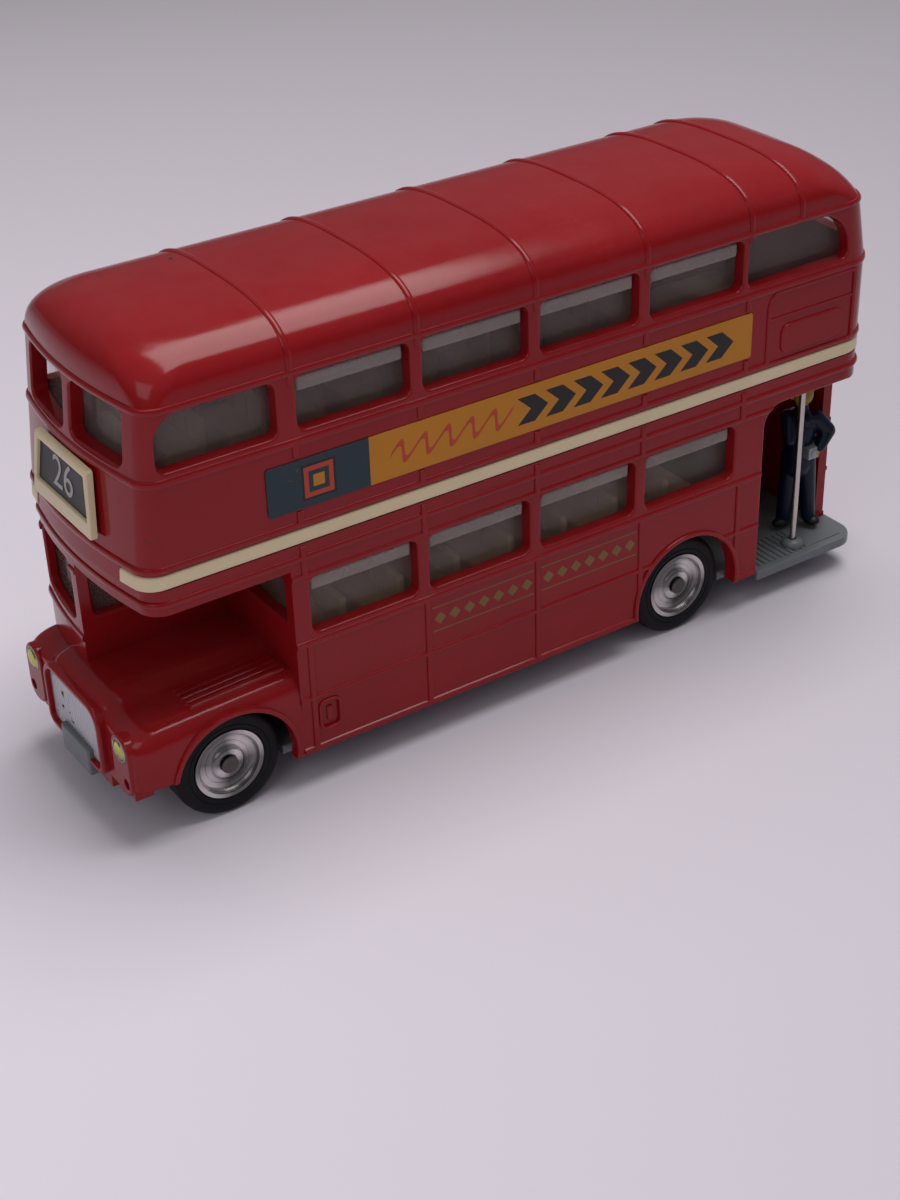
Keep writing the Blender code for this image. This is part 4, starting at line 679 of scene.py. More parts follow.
@dataclass(frozen=True)
class LabelFinish(Finish):
    """Printed strip: a ground colour with an end block, a zigzag and a row of chevrons."""

    accent: Colour = (0.45, 0.05, 0.02)
    dark: Colour = (0.012, 0.011, 0.011)
    end_colour: Colour = (0.014, 0.034, 0.045)
    low_x: float = -36.7
    middle_z: float = 41.9
    end_length: float = 13.6
    zigzag: Flat = (16.5, 33.5)
    chevrons: Flat = (35.7, 69.3)
    chevron_half: float = 1.8
    chevron_pitch: float = 4.2
    squares: tuple[float, ...] = (2.25, 1.95, 1.35, 0.75)

    def base_colour(self, graph: Graph) -> Socket:
        """Draw the strip's plain pattern from the object's own coordinates."""
        split = graph.split(graph.place())
        along = graph.minus(graph.times(split["X"], 1 / MM), self.low_x)
        z = graph.minus(graph.times(split["Z"], 1 / MM), self.middle_z)
        rise = graph.plain(z)
        lean = graph.minus(along, graph.times(z, 0.45))
        swing = graph.times(graph.maths("SINE", graph.times(lean, 1.9)), 1.15)
        wave = graph.plain(graph.minus(z, swing))
        ribbon = graph.times(graph.under(wave, 0.42), graph.between(lean, *self.zigzag))
        point = graph.plus(along, graph.times(rise, 1.1))
        bars = graph.under(graph.maths("PINGPONG", point, self.chevron_pitch / 2), 1.3)
        bars = graph.times(bars, graph.between(point, *self.chevrons))
        bars = graph.times(bars, graph.under(rise, self.chevron_half))
        end = graph.under(along, self.end_length)
        beside = graph.plain(graph.minus(along, self.end_length / 2))
        reach = graph.most(beside, rise)
        layers = [(ribbon, self.accent), (bars, self.dark), (end, self.end_colour)]
        tones = (self.dark, self.accent, self.end_colour, self.colour)
        layers += [(graph.under(reach, limit), tone) for limit, tone in zip(self.squares, tones)]
        colour = super().base_colour(graph)
        for mask, tone in layers:
            colour = graph.mix(mask, colour, tone)
        return colour


PAINT = Finish(
    "red_enamel", (0.26, 0.006, 0.009), roughness=0.13, specular=0.26, peel=0.01, peel_scale=650.0, dust=0.02,
    chip_limit=0.705, edge_limit=0.7, bare_colour=(0.05, 0.035, 0.035), scratches=0.2,
)
CREAM = Finish(
    "cream_moulding", (0.72, 0.6, 0.38), roughness=0.36, peel=0.008, variation=0.05, dust=0.06,
    dust_colour=(0.28, 0.2, 0.12), chip_limit=0.7, bare_colour=(0.2, 0.12, 0.05), scratches=0.3,
)
SEAT = Finish("seat_moulding", (0.5, 0.38, 0.17), roughness=0.42, peel=0.02, variation=0.1, dust=0.1)
CLEAR = ClearFinish(
    "clear_moulding", (0.26, 0.205, 0.185), roughness=0.06, peel=0.004, dust=0.03, variation=0.1
)
# Ventilator bars: a lighter, less clear copy of the clear moulding, a painted sheen where the bars catch the
# light.
SHEEN_BARS = ClearFinish(
    "clear_bars_painted_sheen", (0.4, 0.33, 0.29), alpha=0.5, roughness=0.1, peel=0.01, dust=0.04, variation=0.1
)
GREY = Finish(
    "grey_enamel", (0.135, 0.148, 0.16), roughness=0.3, specular=0.4, peel=0.012, dust=0.08,
    chip_limit=0.68, edge_limit=0.68, bare_colour=(0.3, 0.3, 0.3), scratches=0.4,
)
STEEL = Finish("pole_steel", (0.5, 0.47, 0.44), roughness=0.24, metallic=1.0, peel=0.006, variation=0.12)
AXLE_STEEL = Finish("axle_steel", (0.1, 0.09, 0.085), roughness=0.42, metallic=1.0, peel=0.02, variation=0.2)
RUBBER = Finish(
    "tyre_rubber", (0.004, 0.004, 0.005), roughness=0.5, specular=0.18, peel=0.015, variation=0.15, dust=0.02
)
SILVER = Finish(
    "silver_paint", (0.46, 0.46, 0.48), roughness=0.36, metallic=0.5, peel=0.03, peel_scale=1800.0,
    variation=0.2, chip_limit=0.58, bare_colour=(0.02, 0.02, 0.02),
)
JEWEL = Finish("lamp_jewel", (0.5, 0.5, 0.13), roughness=0.04, metallic=0.95, variation=0.3)
NAVY = Finish("navy_uniform", (0.003, 0.007, 0.022), roughness=0.36, specular=0.25, peel=0.02, variation=0.2)
MUSTARD = Finish("mustard_paint", (0.36, 0.22, 0.015), roughness=0.5, peel=0.02, variation=0.15)
SKIN = Finish("skin_paint", (0.36, 0.2, 0.11), roughness=0.5, peel=0.02, variation=0.1)
MACHINE = Finish("machine_paint", (0.3, 0.31, 0.33), metallic=0.3, peel=0.02)
BLACK_PAPER = Finish(
    "black_paper", (0.012, 0.014, 0.014), roughness=0.42, specular=0.35, peel=0.006, variation=0.15
)
WHITE_INK = Finish("white_ink", (0.42, 0.4, 0.37), roughness=0.5, peel=0.004, variation=0.04)
GOLD_INK = Finish("gold_ink", (0.2, 0.11, 0.03), roughness=0.45, metallic=0.2, peel=0.006, variation=0.15)
BLACK_INK = Finish("black_ink", (0.008, 0.007, 0.006), specular=0.3, peel=0.006)
LABEL = LabelFinish(
    "advert_print", (0.5, 0.19, 0.006), roughness=0.34, specular=0.3, peel=0.008, variation=0.05,
    scratches=0.2,
)


@dataclass(frozen=True)
class Piece:
    """One finished piece: its name, the body that it rides on and its finish."""

    name: str
    slot: str
    finish: Finish
    nodes: tuple[str, ...] = ()
    body: BodyName = BodyName.BUS
    sharp: float = 32.0

    def make(self, shape: BMesh | Thing) -> Thing:
        """Finish a shape as this piece.

        Args:
            shape: A mesh, or a worked solid, in millimetres.

        Returns:
            The piece's object, in metres, riding on its body.
        """
        if isinstance(shape, BMesh):
            shape = solid(shape)
        shape.name = self.name
        shape.data.name = self.name
        bm = bmesh.new()
        bm.from_mesh(shape.data)
        bmesh.ops.remove_doubles(bm, verts=bm.verts, dist=0.0015)
        bmesh.ops.scale(bm, vec=(MM, MM, MM), verts=bm.verts)
        self.mark_edges(bm)
        bm.to_mesh(shape.data)
        bm.free()
        shape.data.materials.clear()
        shape.data.materials.append(material_of(self.finish))
        shape.data.shade_smooth()
        shape.data.set_sharp_from_angle(angle=math.radians(self.sharp))
        even = shape.modifiers.new("even_shading", "WEIGHTED_NORMAL")
        even.keep_sharp = True
        even.weight = 60
        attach(shape, self.body.value)
        if self.nodes:
            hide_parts(*self.nodes)
        LOG.info("%s: %d faces on %s", self.name, len(shape.data.polygons), self.body.value)
        return shape

    def mark_edges(self, bm: BMesh) -> None:
        """Mark the small faces of rounded edges, where paint wears first."""
        layer = bm.verts.layers.float.new("edge_mark")
        limit = (0.35 * MM) ** 2
        for vert in bm.verts:
            faces = vert.link_faces
            small = bool(faces) and min(face.calc_area() for face in faces) < limit
            bends = [edge.calc_face_angle(0.0) for edge in vert.link_edges if len(edge.link_faces) == 2]
            bend = max(bends, default=0.0)
            vert[layer] = 1.0 if small and bend > math.radians(12) else 0.0


@cache
def material_of(finish: Finish) -> Material:
    """Give a finish's material, built the first time that it is asked for."""
    return finish.build()


# Outlines of the body


@dataclass(frozen=True)
class Outline:
    """Levels of the bus body, finer than the plain part's."""

    corner_steps: int = 10
    edge_steps: int = 14
    dome_steps: int = 22
    roof_power: float = 2.8
    rear_power: float = 2.3
    rear_dome: float = 14.0
    front_dome: float = 8.0
    dome_corner: float = 5.0
    least_corner: float = 0.25

    def front_at(self, z: float) -> float:
        """Give the upper deck's front at a height."""
        rise = (z - BUS.band_z) / (BUS.drip_z - BUS.band_z)
        return BUS.band_front_x + BUS.front_lean * rise

    def rear_at(self, z: float, inset: float = 0.0) -> float:
        """Give the body's rear at a height, domed above the belt."""
        top = BUS.drip_z + BUS.crown_rise - inset
        rise = max(0.0, min(1.0, (z - BUS.upper_belt_z) / (top - BUS.upper_belt_z)))
        fall = 1 - (1 - rise**self.rear_power) ** (1 / self.rear_power)
        return BUS.rear_x - inset - self.rear_dome * fall

    def plan(
        self, ends: Flat, half: float, corners: Flat, z: float, bows: Flat = (BUS.front_bow, BUS.rear_bow)
    ) -> list[Point]:
        """List one level: bowed ends, straight sides and round corners.

        Args:
            ends: The front and the rear.
            half: Half of the width.
            corners: The front and rear corners' radii.
            z: The height.
            bows: How far the front and the rear bow out in their middles.

        Returns:
            The level's points.
        """
        (front, rear), (front_radius, rear_radius) = ends, corners
        front_bow, rear_bow = bows
        points = []
        both = ((rear, rear_radius, -rear_bow, 1), (front, front_radius, front_bow, -1))
        for end, radius, bow, turn in both:
            for side in (-turn, turn):
                for step in range(self.corner_steps + 1):
                    angle = step * math.pi / 2 / self.corner_steps
                    along, across = (math.sin(angle), math.cos(angle))
                    if side == turn:
                        along, across = across, along
                    y = side * (half - radius + radius * across)
                    x = end - turn * radius * (1 - along)
                    points.append((x + bow * (y / half) ** 2, y, z))
                if side == -turn:
                    for step in range(1, self.edge_steps):
                        y = turn * (2 * step / self.edge_steps - 1) * (half - radius)
                        points.append((end + bow * (y / half) ** 2, y, z))
        return points

    def level(self, z: float, inset: float = 0.0) -> list[Point]:
        """List the upper deck's level up to the drip rail, set in by an amount."""
        base = (BUS.front_corner, BUS.rear_corner)
        corners = tuple(max(corner - inset, self.least_corner) for corner in base)
        return self.plan((self.front_at(z) + inset, self.rear_at(z, inset)), BUS.half - inset, corners, z)

    def dome(self, inset: float = 0.0) -> list[list[Point]]:
        """List the roof's levels above the drip rail."""
        levels = []
        for step in range(1, self.dome_steps + 1):
            angle = step / (self.dome_steps + 1) * math.pi / 2
            width = math.cos(angle) ** (2 / self.roof_power)
            rise = math.sin(angle) ** (2 / self.roof_power)
            z = BUS.drip_z + (BUS.crown_rise - inset) * rise
            half = (BUS.half - inset) * width
            base = (BUS.front_corner, BUS.rear_corner)
            corners = tuple(min(corner - inset / 2 + self.dome_corner * rise, half / 2) for corner in base)
            front = self.front_at(BUS.drip_z) + inset + self.front_dome * (1 - width)
            bows = (BUS.front_bow * width, BUS.rear_bow * width)
            levels.append(self.plan((front, self.rear_at(z, inset)), half, corners, z, bows))
        return levels

    def lower_level(self, z: float, out: float = 0.0) -> list[Point]:
        """List the lower saloon's level, set out by an amount."""
        ends = (BUS.cab_x - out, BUS.rear_x + out)
        return self.plan(ends, BUS.half + out, (BUS.front_corner, BUS.rear_corner), z)


OUTLINE = Outline()


def bead(centre: float, height: float, proud: float = 0.25, steps: int = 6) -> list[Flat]:
    """List the heights and set-outs of one rounded level bead."""
    reach = height / 2 + proud
    angles = [step / steps * math.pi for step in range(steps + 1)]
    return [(centre - reach * math.cos(angle), proud * math.sin(angle) ** 0.7) for angle in angles]


def side_place(side: int, proud: float = 0.0) -> Place:
    """Give the map from (along, height, depth) to a point on a flat side."""
    return lambda u, v, depth: (u, side * (BUS.half + proud - depth), v)


def front_place(u: float, v: float, depth: float) -> Point:
    """Map (across, height, depth) to the upper deck's front."""
    return (OUTLINE.front_at(v) + BUS.front_bow * (u / BUS.half) ** 2 + depth, u, v)


def rear_place(u: float, v: float, depth: float) -> Point:
    """Map (across, height, depth) to the rear."""
    return (OUTLINE.rear_at(v) - BUS.rear_bow * (u / BUS.half) ** 2 - depth, u, v)


def cab_place(u: float, v: float, depth: float) -> Point:
    """Map (across, height, depth) to the cab's front."""
    return (BUS.cab_x + BUS.front_bow * (u / BUS.half) ** 2 + depth, u, v)


def cab_outline(z: float, inset: float, steps: int = 10) -> list[Point]:
    """List the plan of the cab's room at a height, set in by an amount, with its bowed front."""
    near = BUS.cab_side_y + BUS.cab_side_wall + inset
    off = BUS.half - BUS.wall - inset
    points = [(BUS.bulkhead_x - inset, off, z), (BUS.bulkhead_x - inset, near, z)]
    across = [near + (off - near) * step / steps for step in range(steps + 1)]
    return points + [cab_place(y, z, BUS.cab_front_wall + inset) for y in across]


def wall_place(x: float) -> Place:
    """Give the map from (across, height, depth) to a flat wall that faces the front."""
    return lambda u, v, depth: (x + depth, u, v)


def grown(area: Area, radii: Radii, grow: float) -> list[Flat]:
    """List a rounded rectangle grown by an amount on all sides."""
    u0, u1, v0, v1 = area
    radii = (radii,) * 4 if isinstance(radii, float) else radii
    return rounded(u0 - grow, u1 + grow, v0 - grow, v1 + grow, [max(radius + grow, 0.02) for radius in radii])


def around(u: float, v: float, reach: float) -> Area:
    """Give the square area about a point."""
    return (u - reach, u + reach, v - reach, v + reach)


def opening(
    bm: BMesh, place: Place, area: Area, radii: Radii, deep: float, lip: float = 0.35, beyond: float = 1.2
) -> None:
    """Add a cutter that opens a rounded hole whose outer edge is rounded over.

    Args:
        bm: The mesh to add to.
        place: The surface that the hole is cut in.
        area: The hole's two limits along and two limits up.
        radii: The radii of its corners, or one radius for all.
        deep: How deep it goes.
        lip: The radius of the edge's rounding.
        beyond: How far the cutter stands out of the surface.
    """
    stations = [(-beyond, lip)]
    for step in range(5):
        angle = math.radians(84 * (1 - step / 4))
        stations.append((lip * (1 - math.sin(angle)), lip * (1 - math.cos(angle))))
    stations.append((deep, 0.0))
    skin(bm, [[place(u, v, depth) for u, v in grown(area, radii, grow)] for depth, grow in stations])


def pad(
    bm: BMesh, place: Place, area: Area, radii: Radii, proud: float, deep: float = 0.6, edge: float = 0.25
) -> None:
    """Add a raised pad with a rounded edge that stands on a surface.

    Args:
        bm: The mesh to add to.
        place: The surface.
        area: The pad's two limits along and two limits up.
        radii: The radii of its corners, or one radius for all.
        proud: How far it stands out.
        deep: How far it reaches into the wall.
        edge: The radius of the edge's rounding.
    """
    angles = [math.pi / 2 * step / 4 for step in range(5)]
    stations = [(edge * (1 - math.cos(angle)) - proud, -edge * (1 - math.sin(angle))) for angle in angles]
    stations.append((deep, 0.0))
    skin(bm, [[place(u, v, depth) for u, v in grown(area, radii, grow)] for depth, grow in stations])


def panel_beads(bm: BMesh, side: int, spans: Sequence[Flat]) -> None:
    """Add the upright beads that stand on one side's pillars between pairs of heights."""
    for index in range(BUS.bays + 1):
        x = BUS.pillar_x(index)
        for foot, head in spans:
            pad(bm, side_place(side), (x, x + BUS.pillar, foot, head), 0.1, BUS.bead_proud, edge=0.2)


def loft(loops: Sequence[Iterable[Point]]) -> BMesh:
    """Make a mesh of one stack of rings."""
    return skin(bmesh.new(), loops)


def turned(profile: Sequence[Flat], matrix: Matrix, steps: int = 48, closed: bool = False) -> BMesh:
    """Make a mesh of one turned shape."""
    bm = bmesh.new()
    lathe(bm, profile, matrix, steps, closed)
    return bm


def across_axis(x: float, z: float, side: int = 1) -> Matrix:
    """Give the place of an axis across the bus, with its Z pointing to a side."""
    return Matrix.Translation((x, 0, z)) @ Matrix.Rotation(-side * math.pi / 2, 4, "X")


def boxes(*items: tuple[Point, Point], bevel: float = 0.0) -> BMesh:
    """Make a mesh of several boxes."""
    bm = bmesh.new()
    for low, high in items:
        block(bm, low, high, bevel)
    return bm


# The castings


@dataclass
class UpperShell:
    """Upper casting: roof with ribs, window band, advert panels and the rear quarter's trims."""

    first_shift: float = 0.9
    quarter_shift: float = 0.25
    quarter_half: float = 8.55
    quarter_round: float = 5.5
    pane_inner: float = 0.9
    side_cut: float = 3.4
    front_cut: float = 2.6
    rear_cut: float = 3.0
    rib_section: Flats = (
        (-0.46, -0.12), (-0.4, 0.08), (-0.26, 0.2), (0.0, 0.25), (0.26, 0.2), (0.4, 0.08), (0.46, -0.12)
    )
    rib_steps: int = 36
    apron_half: float = 11.0
    apron_depth: float = 1.6
    feet_half: float = 30.0
    advert_z: float = 41.9
    advert_height: float = 6.2
    advert_gap: float = 0.3
    frame: Area = (37.5, 53.0, BUS.upper_base_z + 0.4, 46.85)
    frame_proud: float = 0.24
    dish: Area = (38.1, 52.4, BUS.upper_base_z + 0.75, 46.3)
    line: Area = (37.8, 52.8, 42.85, 43.2)
    plate: Area = (40.1, 50.8, 37.7, 41.8)

    def outer(self) -> Thing:
        """Build the outside with its beads."""
        profile = [(BUS.band_z, 0.0), (BUS.upper_base_z, 0.0)]
        beads = ((BUS.upper_base_z + 0.6, 0.35), (BUS.upper_belt_z, 0.5), (BUS.drip_z - 0.3, 0.3))
        for centre, height in beads:
            profile += bead(centre, height)
        return solid(loft([OUTLINE.level(z, -out) for z, out in profile] + OUTLINE.dome()))

    def ribs(self) -> BMesh:
        """Build the rounded ribs over the roof."""
        bm = bmesh.new()
        middles = [BUS.pillar_x(index) + BUS.pillar / 2 for index in range(BUS.bays + 1)]
        middles.append(BUS.pillar_x(BUS.bays) + (BUS.pillar + BUS.bay_pitch) / 2)
        power = 2 / OUTLINE.roof_power
        for middle in middles:
            rings = []
            for along, proud in self.rib_section:
                reach = BUS.half + proud
                points = [(middle + along, side * reach, BUS.drip_z - BUS.wall) for side in SIDES]
                for step in range(self.rib_steps + 1):
                    angle = step / self.rib_steps * math.pi
                    y = math.copysign(reach * abs(math.cos(angle)) ** power, math.cos(angle))
                    z = BUS.drip_z + (BUS.crown_rise + proud) * math.sin(angle) ** power
                    points.append((middle + along, y, z))
                rings.append(points)
            skin(bm, rings)
        return bm

    def trim(self, body: Thing) -> None:
        """Add the upright beads over and under the advert, and the rear quarter's frame, line and pad."""
        beads, frames, dishes, lines, plates = (bmesh.new() for _ in range(5))
        reach = self.advert_height / 2 + self.advert_gap
        spans = ((BUS.upper_base_z + 0.5, self.advert_z - reach), (self.advert_z + reach, BUS.upper_belt_z))
        for side in SIDES:
            place, raised = side_place(side), side_place(side, self.frame_proud)
            panel_beads(beads, side, spans)
            pad(frames, place, self.frame, (0.6, 0.6, 0.6, 2.2), self.frame_proud, edge=0.2)
            opening(dishes, raised, self.dish, (0.4, 0.4, 0.4, 1.6), self.frame_proud + 0.03, 0.16)
            pad(lines, place, self.line, 0.1, 0.16, edge=0.12)
            pad(plates, place, self.plate, 1.2, 0.26, edge=0.22)
        change(body, Join.ADD, beads, frames)
        change(body, Join.CUT, dishes)
        change(body, Join.ADD, lines, plates)

    def windows(self) -> BMesh:
        """Build the cutters of the side, front and rear windows."""
        bm = bmesh.new()
        low, high = BUS.upper_window
        half, corner = BUS.window_length / 2, BUS.window_round
        lone = (corner,) * 3
        first = BUS.bay_x(-1) - self.first_shift
        quarter = BUS.bay_x(BUS.bays) + self.quarter_shift
        panes = [(first, half, (*lone, 3 * corner))]
        panes += [(BUS.bay_x(index), half, (*lone, corner)) for index in range(BUS.bays)]
        panes.append((quarter, self.quarter_half, (corner, corner, self.quarter_round, corner)))
        for side in SIDES:
            for middle, reach, radii in panes:
                area = (middle - reach, middle + reach, low, high)
                opening(bm, side_place(side), area, radii, self.side_cut)
            ends = sorted((side * self.pane_inner, side * (BUS.half - BUS.wall - BUS.front_corner)))
            opening(bm, front_place, (*ends, low, high), corner, self.front_cut)
            opening(bm, rear_place, (*ends, low + corner, high), corner, self.rear_cut)
        return bm

    def hollow(self) -> BMesh:
        """Build the room of the upper deck."""
        low, top = BUS.upper_belt_z + 0.4, BUS.upper_window[1] + 0.6
        heights = (BUS.band_z - PAST, BUS.band_z, low, (low + top) / 2, top)
        return loft([OUTLINE.level(z, BUS.wall) for z in heights] + OUTLINE.dome(BUS.wall))

    def feet(self) -> list[BMesh]:
        """Build the cutters that leave only the front's apron below the casting's foot."""
        back, foot = BUS.band_front_x + self.apron_depth, BUS.band_z - PAST
        corners = []
        for side in SIDES:
            low_y, high_y = sorted((side * self.apron_half, side * self.feet_half))
            corners.append(((-FAR, low_y, foot), (back + BUS.wall, high_y, BUS.upper_base_z)))
        room = ((back, -self.feet_half, foot), (FAR, self.feet_half, BUS.upper_base_z))
        return [boxes(room), boxes(*corners)]

    def dress(self) -> None:
        """Build the casting and finish it as a piece."""
        body = change(self.outer(), Join.ADD, self.ribs())
        self.trim(body)
        change(body, Join.CUT, self.hollow(), self.windows(), *self.feet())
        Piece("upper_casting", "red_paint", PAINT, ("upper_body",)).make(body)


@dataclass
class LowerShell:
    """Lower casting: saloon, half cab, bonnet, wings, nose and frieze."""

    skirt: Flats = ((-0.5, 0.25), (0.45, 0.25), (0.7, 0.17), (0.8, 0.0))
    bead_heights: tuple[float, ...] = (0.2, 0.4, 0.2, 0.3)
    bonnet_half: float = 6.2
    bonnet_top: float = 17.4
    wing_top: float = 15.6
    nose_round: float = 1.5
    nose_length: float = 4.2
    wing_rise: float = 1.0
    nose_wall: float = 2.4
    bonnet_wall: float = 1.2
    ceiling: float = 1.3
    grille_half: float = 7.0
    grille_z: float = 7.3
    grille_height: float = 8.0
    grille_rounds: tuple[float, ...] = (1.0, 1.0, 2.0, 2.0)
    grille_rim: float = 0.8
    grille_proud: float = 0.95
    slats: int = 9
    slat_pitch: float = 0.7
    slat_half: float = 0.16
    pod_half: float = 2.3
    pod_foot: float = 6.9
    pod_head: float = 15.1
    pod_proud: float = 0.35
    side_light: tuple[float, float, float] = (13.1, 8.8, 0.7)
    front_arch: float = 8.0
    rear_arch: float = 8.4
    arch_back: float = 0.5
    arch_drop: float = 0.6
    lip: float = 0.7
    lip_proud: float = 0.35
    well_depth: float = 9.5
    cab_sill_rise: float = 0.6
    inner_sill_rise: float = 1.4
    window_cut: float = 3.2
    screen_cut: float = 3.9
    bulkhead_cut: float = 3.0
    inner_cut: float = 1.9
    louvres: int = 5
    louvre_y: float = -8.8
    louvre_pitch: float = 1.05
    louvre_proud: float = 0.3
    louvre_ends: Flats = ((-47.8, 0.3), (-47.5, 0.0), (-35.1, 0.0), (-34.8, 0.3))
    louvre_section: Flats = (
        (0.1, -0.9), (0.1, -0.3), (0.0, -0.06), (-0.1, 0.0), (-0.27, 0.0), (-0.4, -0.1), (-0.46, -0.3),
        (-0.46, -0.9),
    )
    flap_start: float = 1.3
    flap_length: float = 2.4
    flap_heights: Flat = (8.0, 11.6)
    flap_proud: float = 0.3
    wing_foot: float = 8.4
    bumper_gap: Flat = (4.0, 8.6)

    def outer(self) -> Thing:
        """Build the saloon's outside with its beads."""
        profile = [(BUS.skirt_z + rise, out) for rise, out in self.skirt]
        levels = (BUS.mid_bead_z, BUS.lower_belt_z, BUS.cant_bead_z, BUS.frieze_bead_z)
        for centre, height in zip(levels, self.bead_heights):
            profile += bead(centre, height)
        profile.append((BUS.lower_top_z, 0.0))
        return solid(loft([OUTLINE.lower_level(z, out) for z, out in profile]))

    def wing_at(self, x: float) -> float:
        """Give the wings' height at a place, which rises towards the bulkhead."""
        return self.wing_top + self.wing_rise * (x - BUS.nose_x) / (BUS.bulkhead_x - BUS.nose_x)

    def section(self, x: float, inset: float) -> list[Flat]:
        """List the bonnet and wings at a place, seen from the front."""
        top = self.wing_at(x)
        half = [
            (BUS.half, BUS.skirt_z),
            (BUS.half, top - 4.2),
            (BUS.half - 0.3, top - 2.0),
            (BUS.half - 1.1, top - 0.5),
            (BUS.half - 2.5, top),
            (self.bonnet_half + 2.0, top),
            (self.bonnet_half + 0.5, self.bonnet_top - 0.6),
            (self.bonnet_half - 0.8, self.bonnet_top),
            (0.0, self.bonnet_top + 0.02),
        ]
        scale = (BUS.half - inset) / BUS.half
        half = soften([(y * scale, max(z - inset, BUS.skirt_z)) for y, z in half])
        return half + [(-y, z) for y, z in reversed(half[:-1])]

    def bonnet(self, steps: int = 12) -> BMesh:
        """Build the bonnet, wings and nose."""
        rings = []
        for step in range(steps + 1):
            angle = step / steps * math.pi / 2
            inset = self.nose_round * (1 - math.sin(angle))
            x = BUS.nose_x + self.nose_length * (1 - math.cos(angle))
            rings.append([(x, y, z) for y, z in self.section(x, inset)])
        end = BUS.bulkhead_x + 0.9
        rings.append([(end, y, z) for y, z in self.section(end, 0.0)])
        return split_quads(loft(rings))

    def strips(self) -> BMesh:
        """Build the upright beads of the panels and the frieze."""
        bm = bmesh.new()
        for side in SIDES:
            spans = ((BUS.skirt_z - 0.3, BUS.lower_belt_z), (BUS.cant_bead_z, BUS.lower_top_z - 0.3))
            panel_beads(bm, side, spans)
        return bm

    def grille_area(self, grow: float = 0.0) -> Area:
        """Give the grille's limits across and up, grown by an amount."""
        half, low, high = self.grille_half, self.grille_z, self.grille_z + self.grille_height
        return (-half - grow, half + grow, low - grow, high + grow)

    def nose_trims(self) -> BMesh:
        """Build the grille's raised surround and the lamp pods."""
        bm = bmesh.new()
        nose, half = wall_place(BUS.nose_x), self.pod_half
        radii = [radius + self.grille_rim for radius in self.grille_rounds]
        pad(bm, nose, self.grille_area(self.grille_rim), radii, self.grille_proud, 0.9, edge=0.4)
        for side in SIDES:
            area = (side * BUS.lamp_y - half, side * BUS.lamp_y + half, self.pod_foot, self.pod_head)
            pad(bm, nose, area, half * 0.92, self.pod_proud, 2.2, edge=0.3)
        return bm

    def ridges(self) -> BMesh:
        """Build the louvres on top of the nearside wing."""
        bm = bmesh.new()
        for index in range(self.louvres):
            y = self.louvre_y - index * self.louvre_pitch
            rings = []
            for x, drop in self.louvre_ends:
                top = self.wing_at(x) + self.louvre_proud - drop
                rings.append([(x, y + across, top + up) for across, up in self.louvre_section])
            skin(bm, rings)
        return bm

    def arches(self, profile: Callable[[float], list[Flat]], closed: bool) -> BMesh:
        """Turn a profile that follows from the radius about each wheel arch."""
        bm = bmesh.new()
        for axle, radius in ((BUS.front_axle_x, self.front_arch), (BUS.rear_axle_x, self.rear_arch)):
            for side in SIDES:
                axis = across_axis(axle + self.arch_back, BUS.axle_z - self.arch_drop, side)
                lathe(bm, profile(radius), axis, 72, closed)
        return bm

    def lip_profile(self, radius: float) -> list[Flat]:
        """List the profile of the raised lip round an arch."""
        edge, out = radius + self.lip, BUS.half + self.lip_proud
        inner = [(radius - 1, out - 2), (edge, out - 2)]
        return inner + [(edge, out - 0.22), (edge - 0.08, out - 0.06), (edge - 0.24, out), (radius - 1, out)]

    def well_profile(self, radius: float) -> list[Flat]:
        """List the profile of a wheel's well with its rounded edge."""
        out = BUS.half + self.lip_proud
        inner = [(0.0, self.well_depth), (radius, self.well_depth), (radius, out - 0.25)]
        edge = [(radius + 0.08, out - 0.08), (radius + 0.25, out)]
        return [*inner, *edge, (radius + 0.3, out + 2), (0.0, out + 2)]

    def hollows(self) -> list[BMesh]:
        """Build the rooms of the saloon, the frieze, the cab and the bonnet."""
        inner = BUS.half - BUS.wall
        back = BUS.bulkhead_x + BUS.bulkhead_depth
        top = BUS.lower_top_z + PAST
        saloon = rounded(back, BUS.rear_x - BUS.wall, -inner, inner, (0.4, 2.2, 2.2, 0.4))
        ends = (BUS.cab_x + BUS.wall, back + BUS.wall)
        heights = (BUS.frieze_z - 0.5, top)
        frieze = [OUTLINE.plan(ends, inner, (0.6, 0.6), z, (BUS.front_bow, 0.0)) for z in heights]
        rings = []
        for x in (BUS.nose_x + self.nose_wall, back + BUS.wall):
            roof = self.wing_at(x) - self.ceiling
            section = self.section(x, self.bonnet_wall)
            section = [(y, z if z > BUS.skirt_z + 0.01 else BUS.skirt_z - PAST) for y, z in section]
            rings.append([(x, y, min(z, roof)) for y, z in section])
        return [
            loft([[(x, y, z) for x, y in saloon] for z in (BUS.skirt_z - PAST, top)]),
            loft(frieze),
            loft([cab_outline(z, 0.0) for z in (BUS.cab_floor_z, top)]),
            split_quads(loft(rings)),
        ]

    def windows(self) -> BMesh:
        """Build the cutters of the saloon's and the cab's windows."""
        bm = bmesh.new()
        (low, high), corner = BUS.lower_window, BUS.window_round
        half = BUS.window_length / 2
        for side in SIDES:
            for x in map(BUS.bay_x, range(BUS.bays)):
                opening(bm, side_place(side), (x - half, x + half, low, high), corner, self.window_cut)
        sill = low + self.cab_sill_rise
        front = BUS.cab_x + BUS.wall + BUS.front_bow
        area = (front + 0.7, BUS.bulkhead_x - 1.2, sill, high)
        opening(bm, side_place(1), area, corner, self.window_cut)
        screen = (BUS.cab_side_y + BUS.wall, BUS.half - 1.4 * BUS.wall, sill, BUS.frieze_z - 0.5)
        opening(bm, cab_place, screen, corner, self.screen_cut)
        return bm

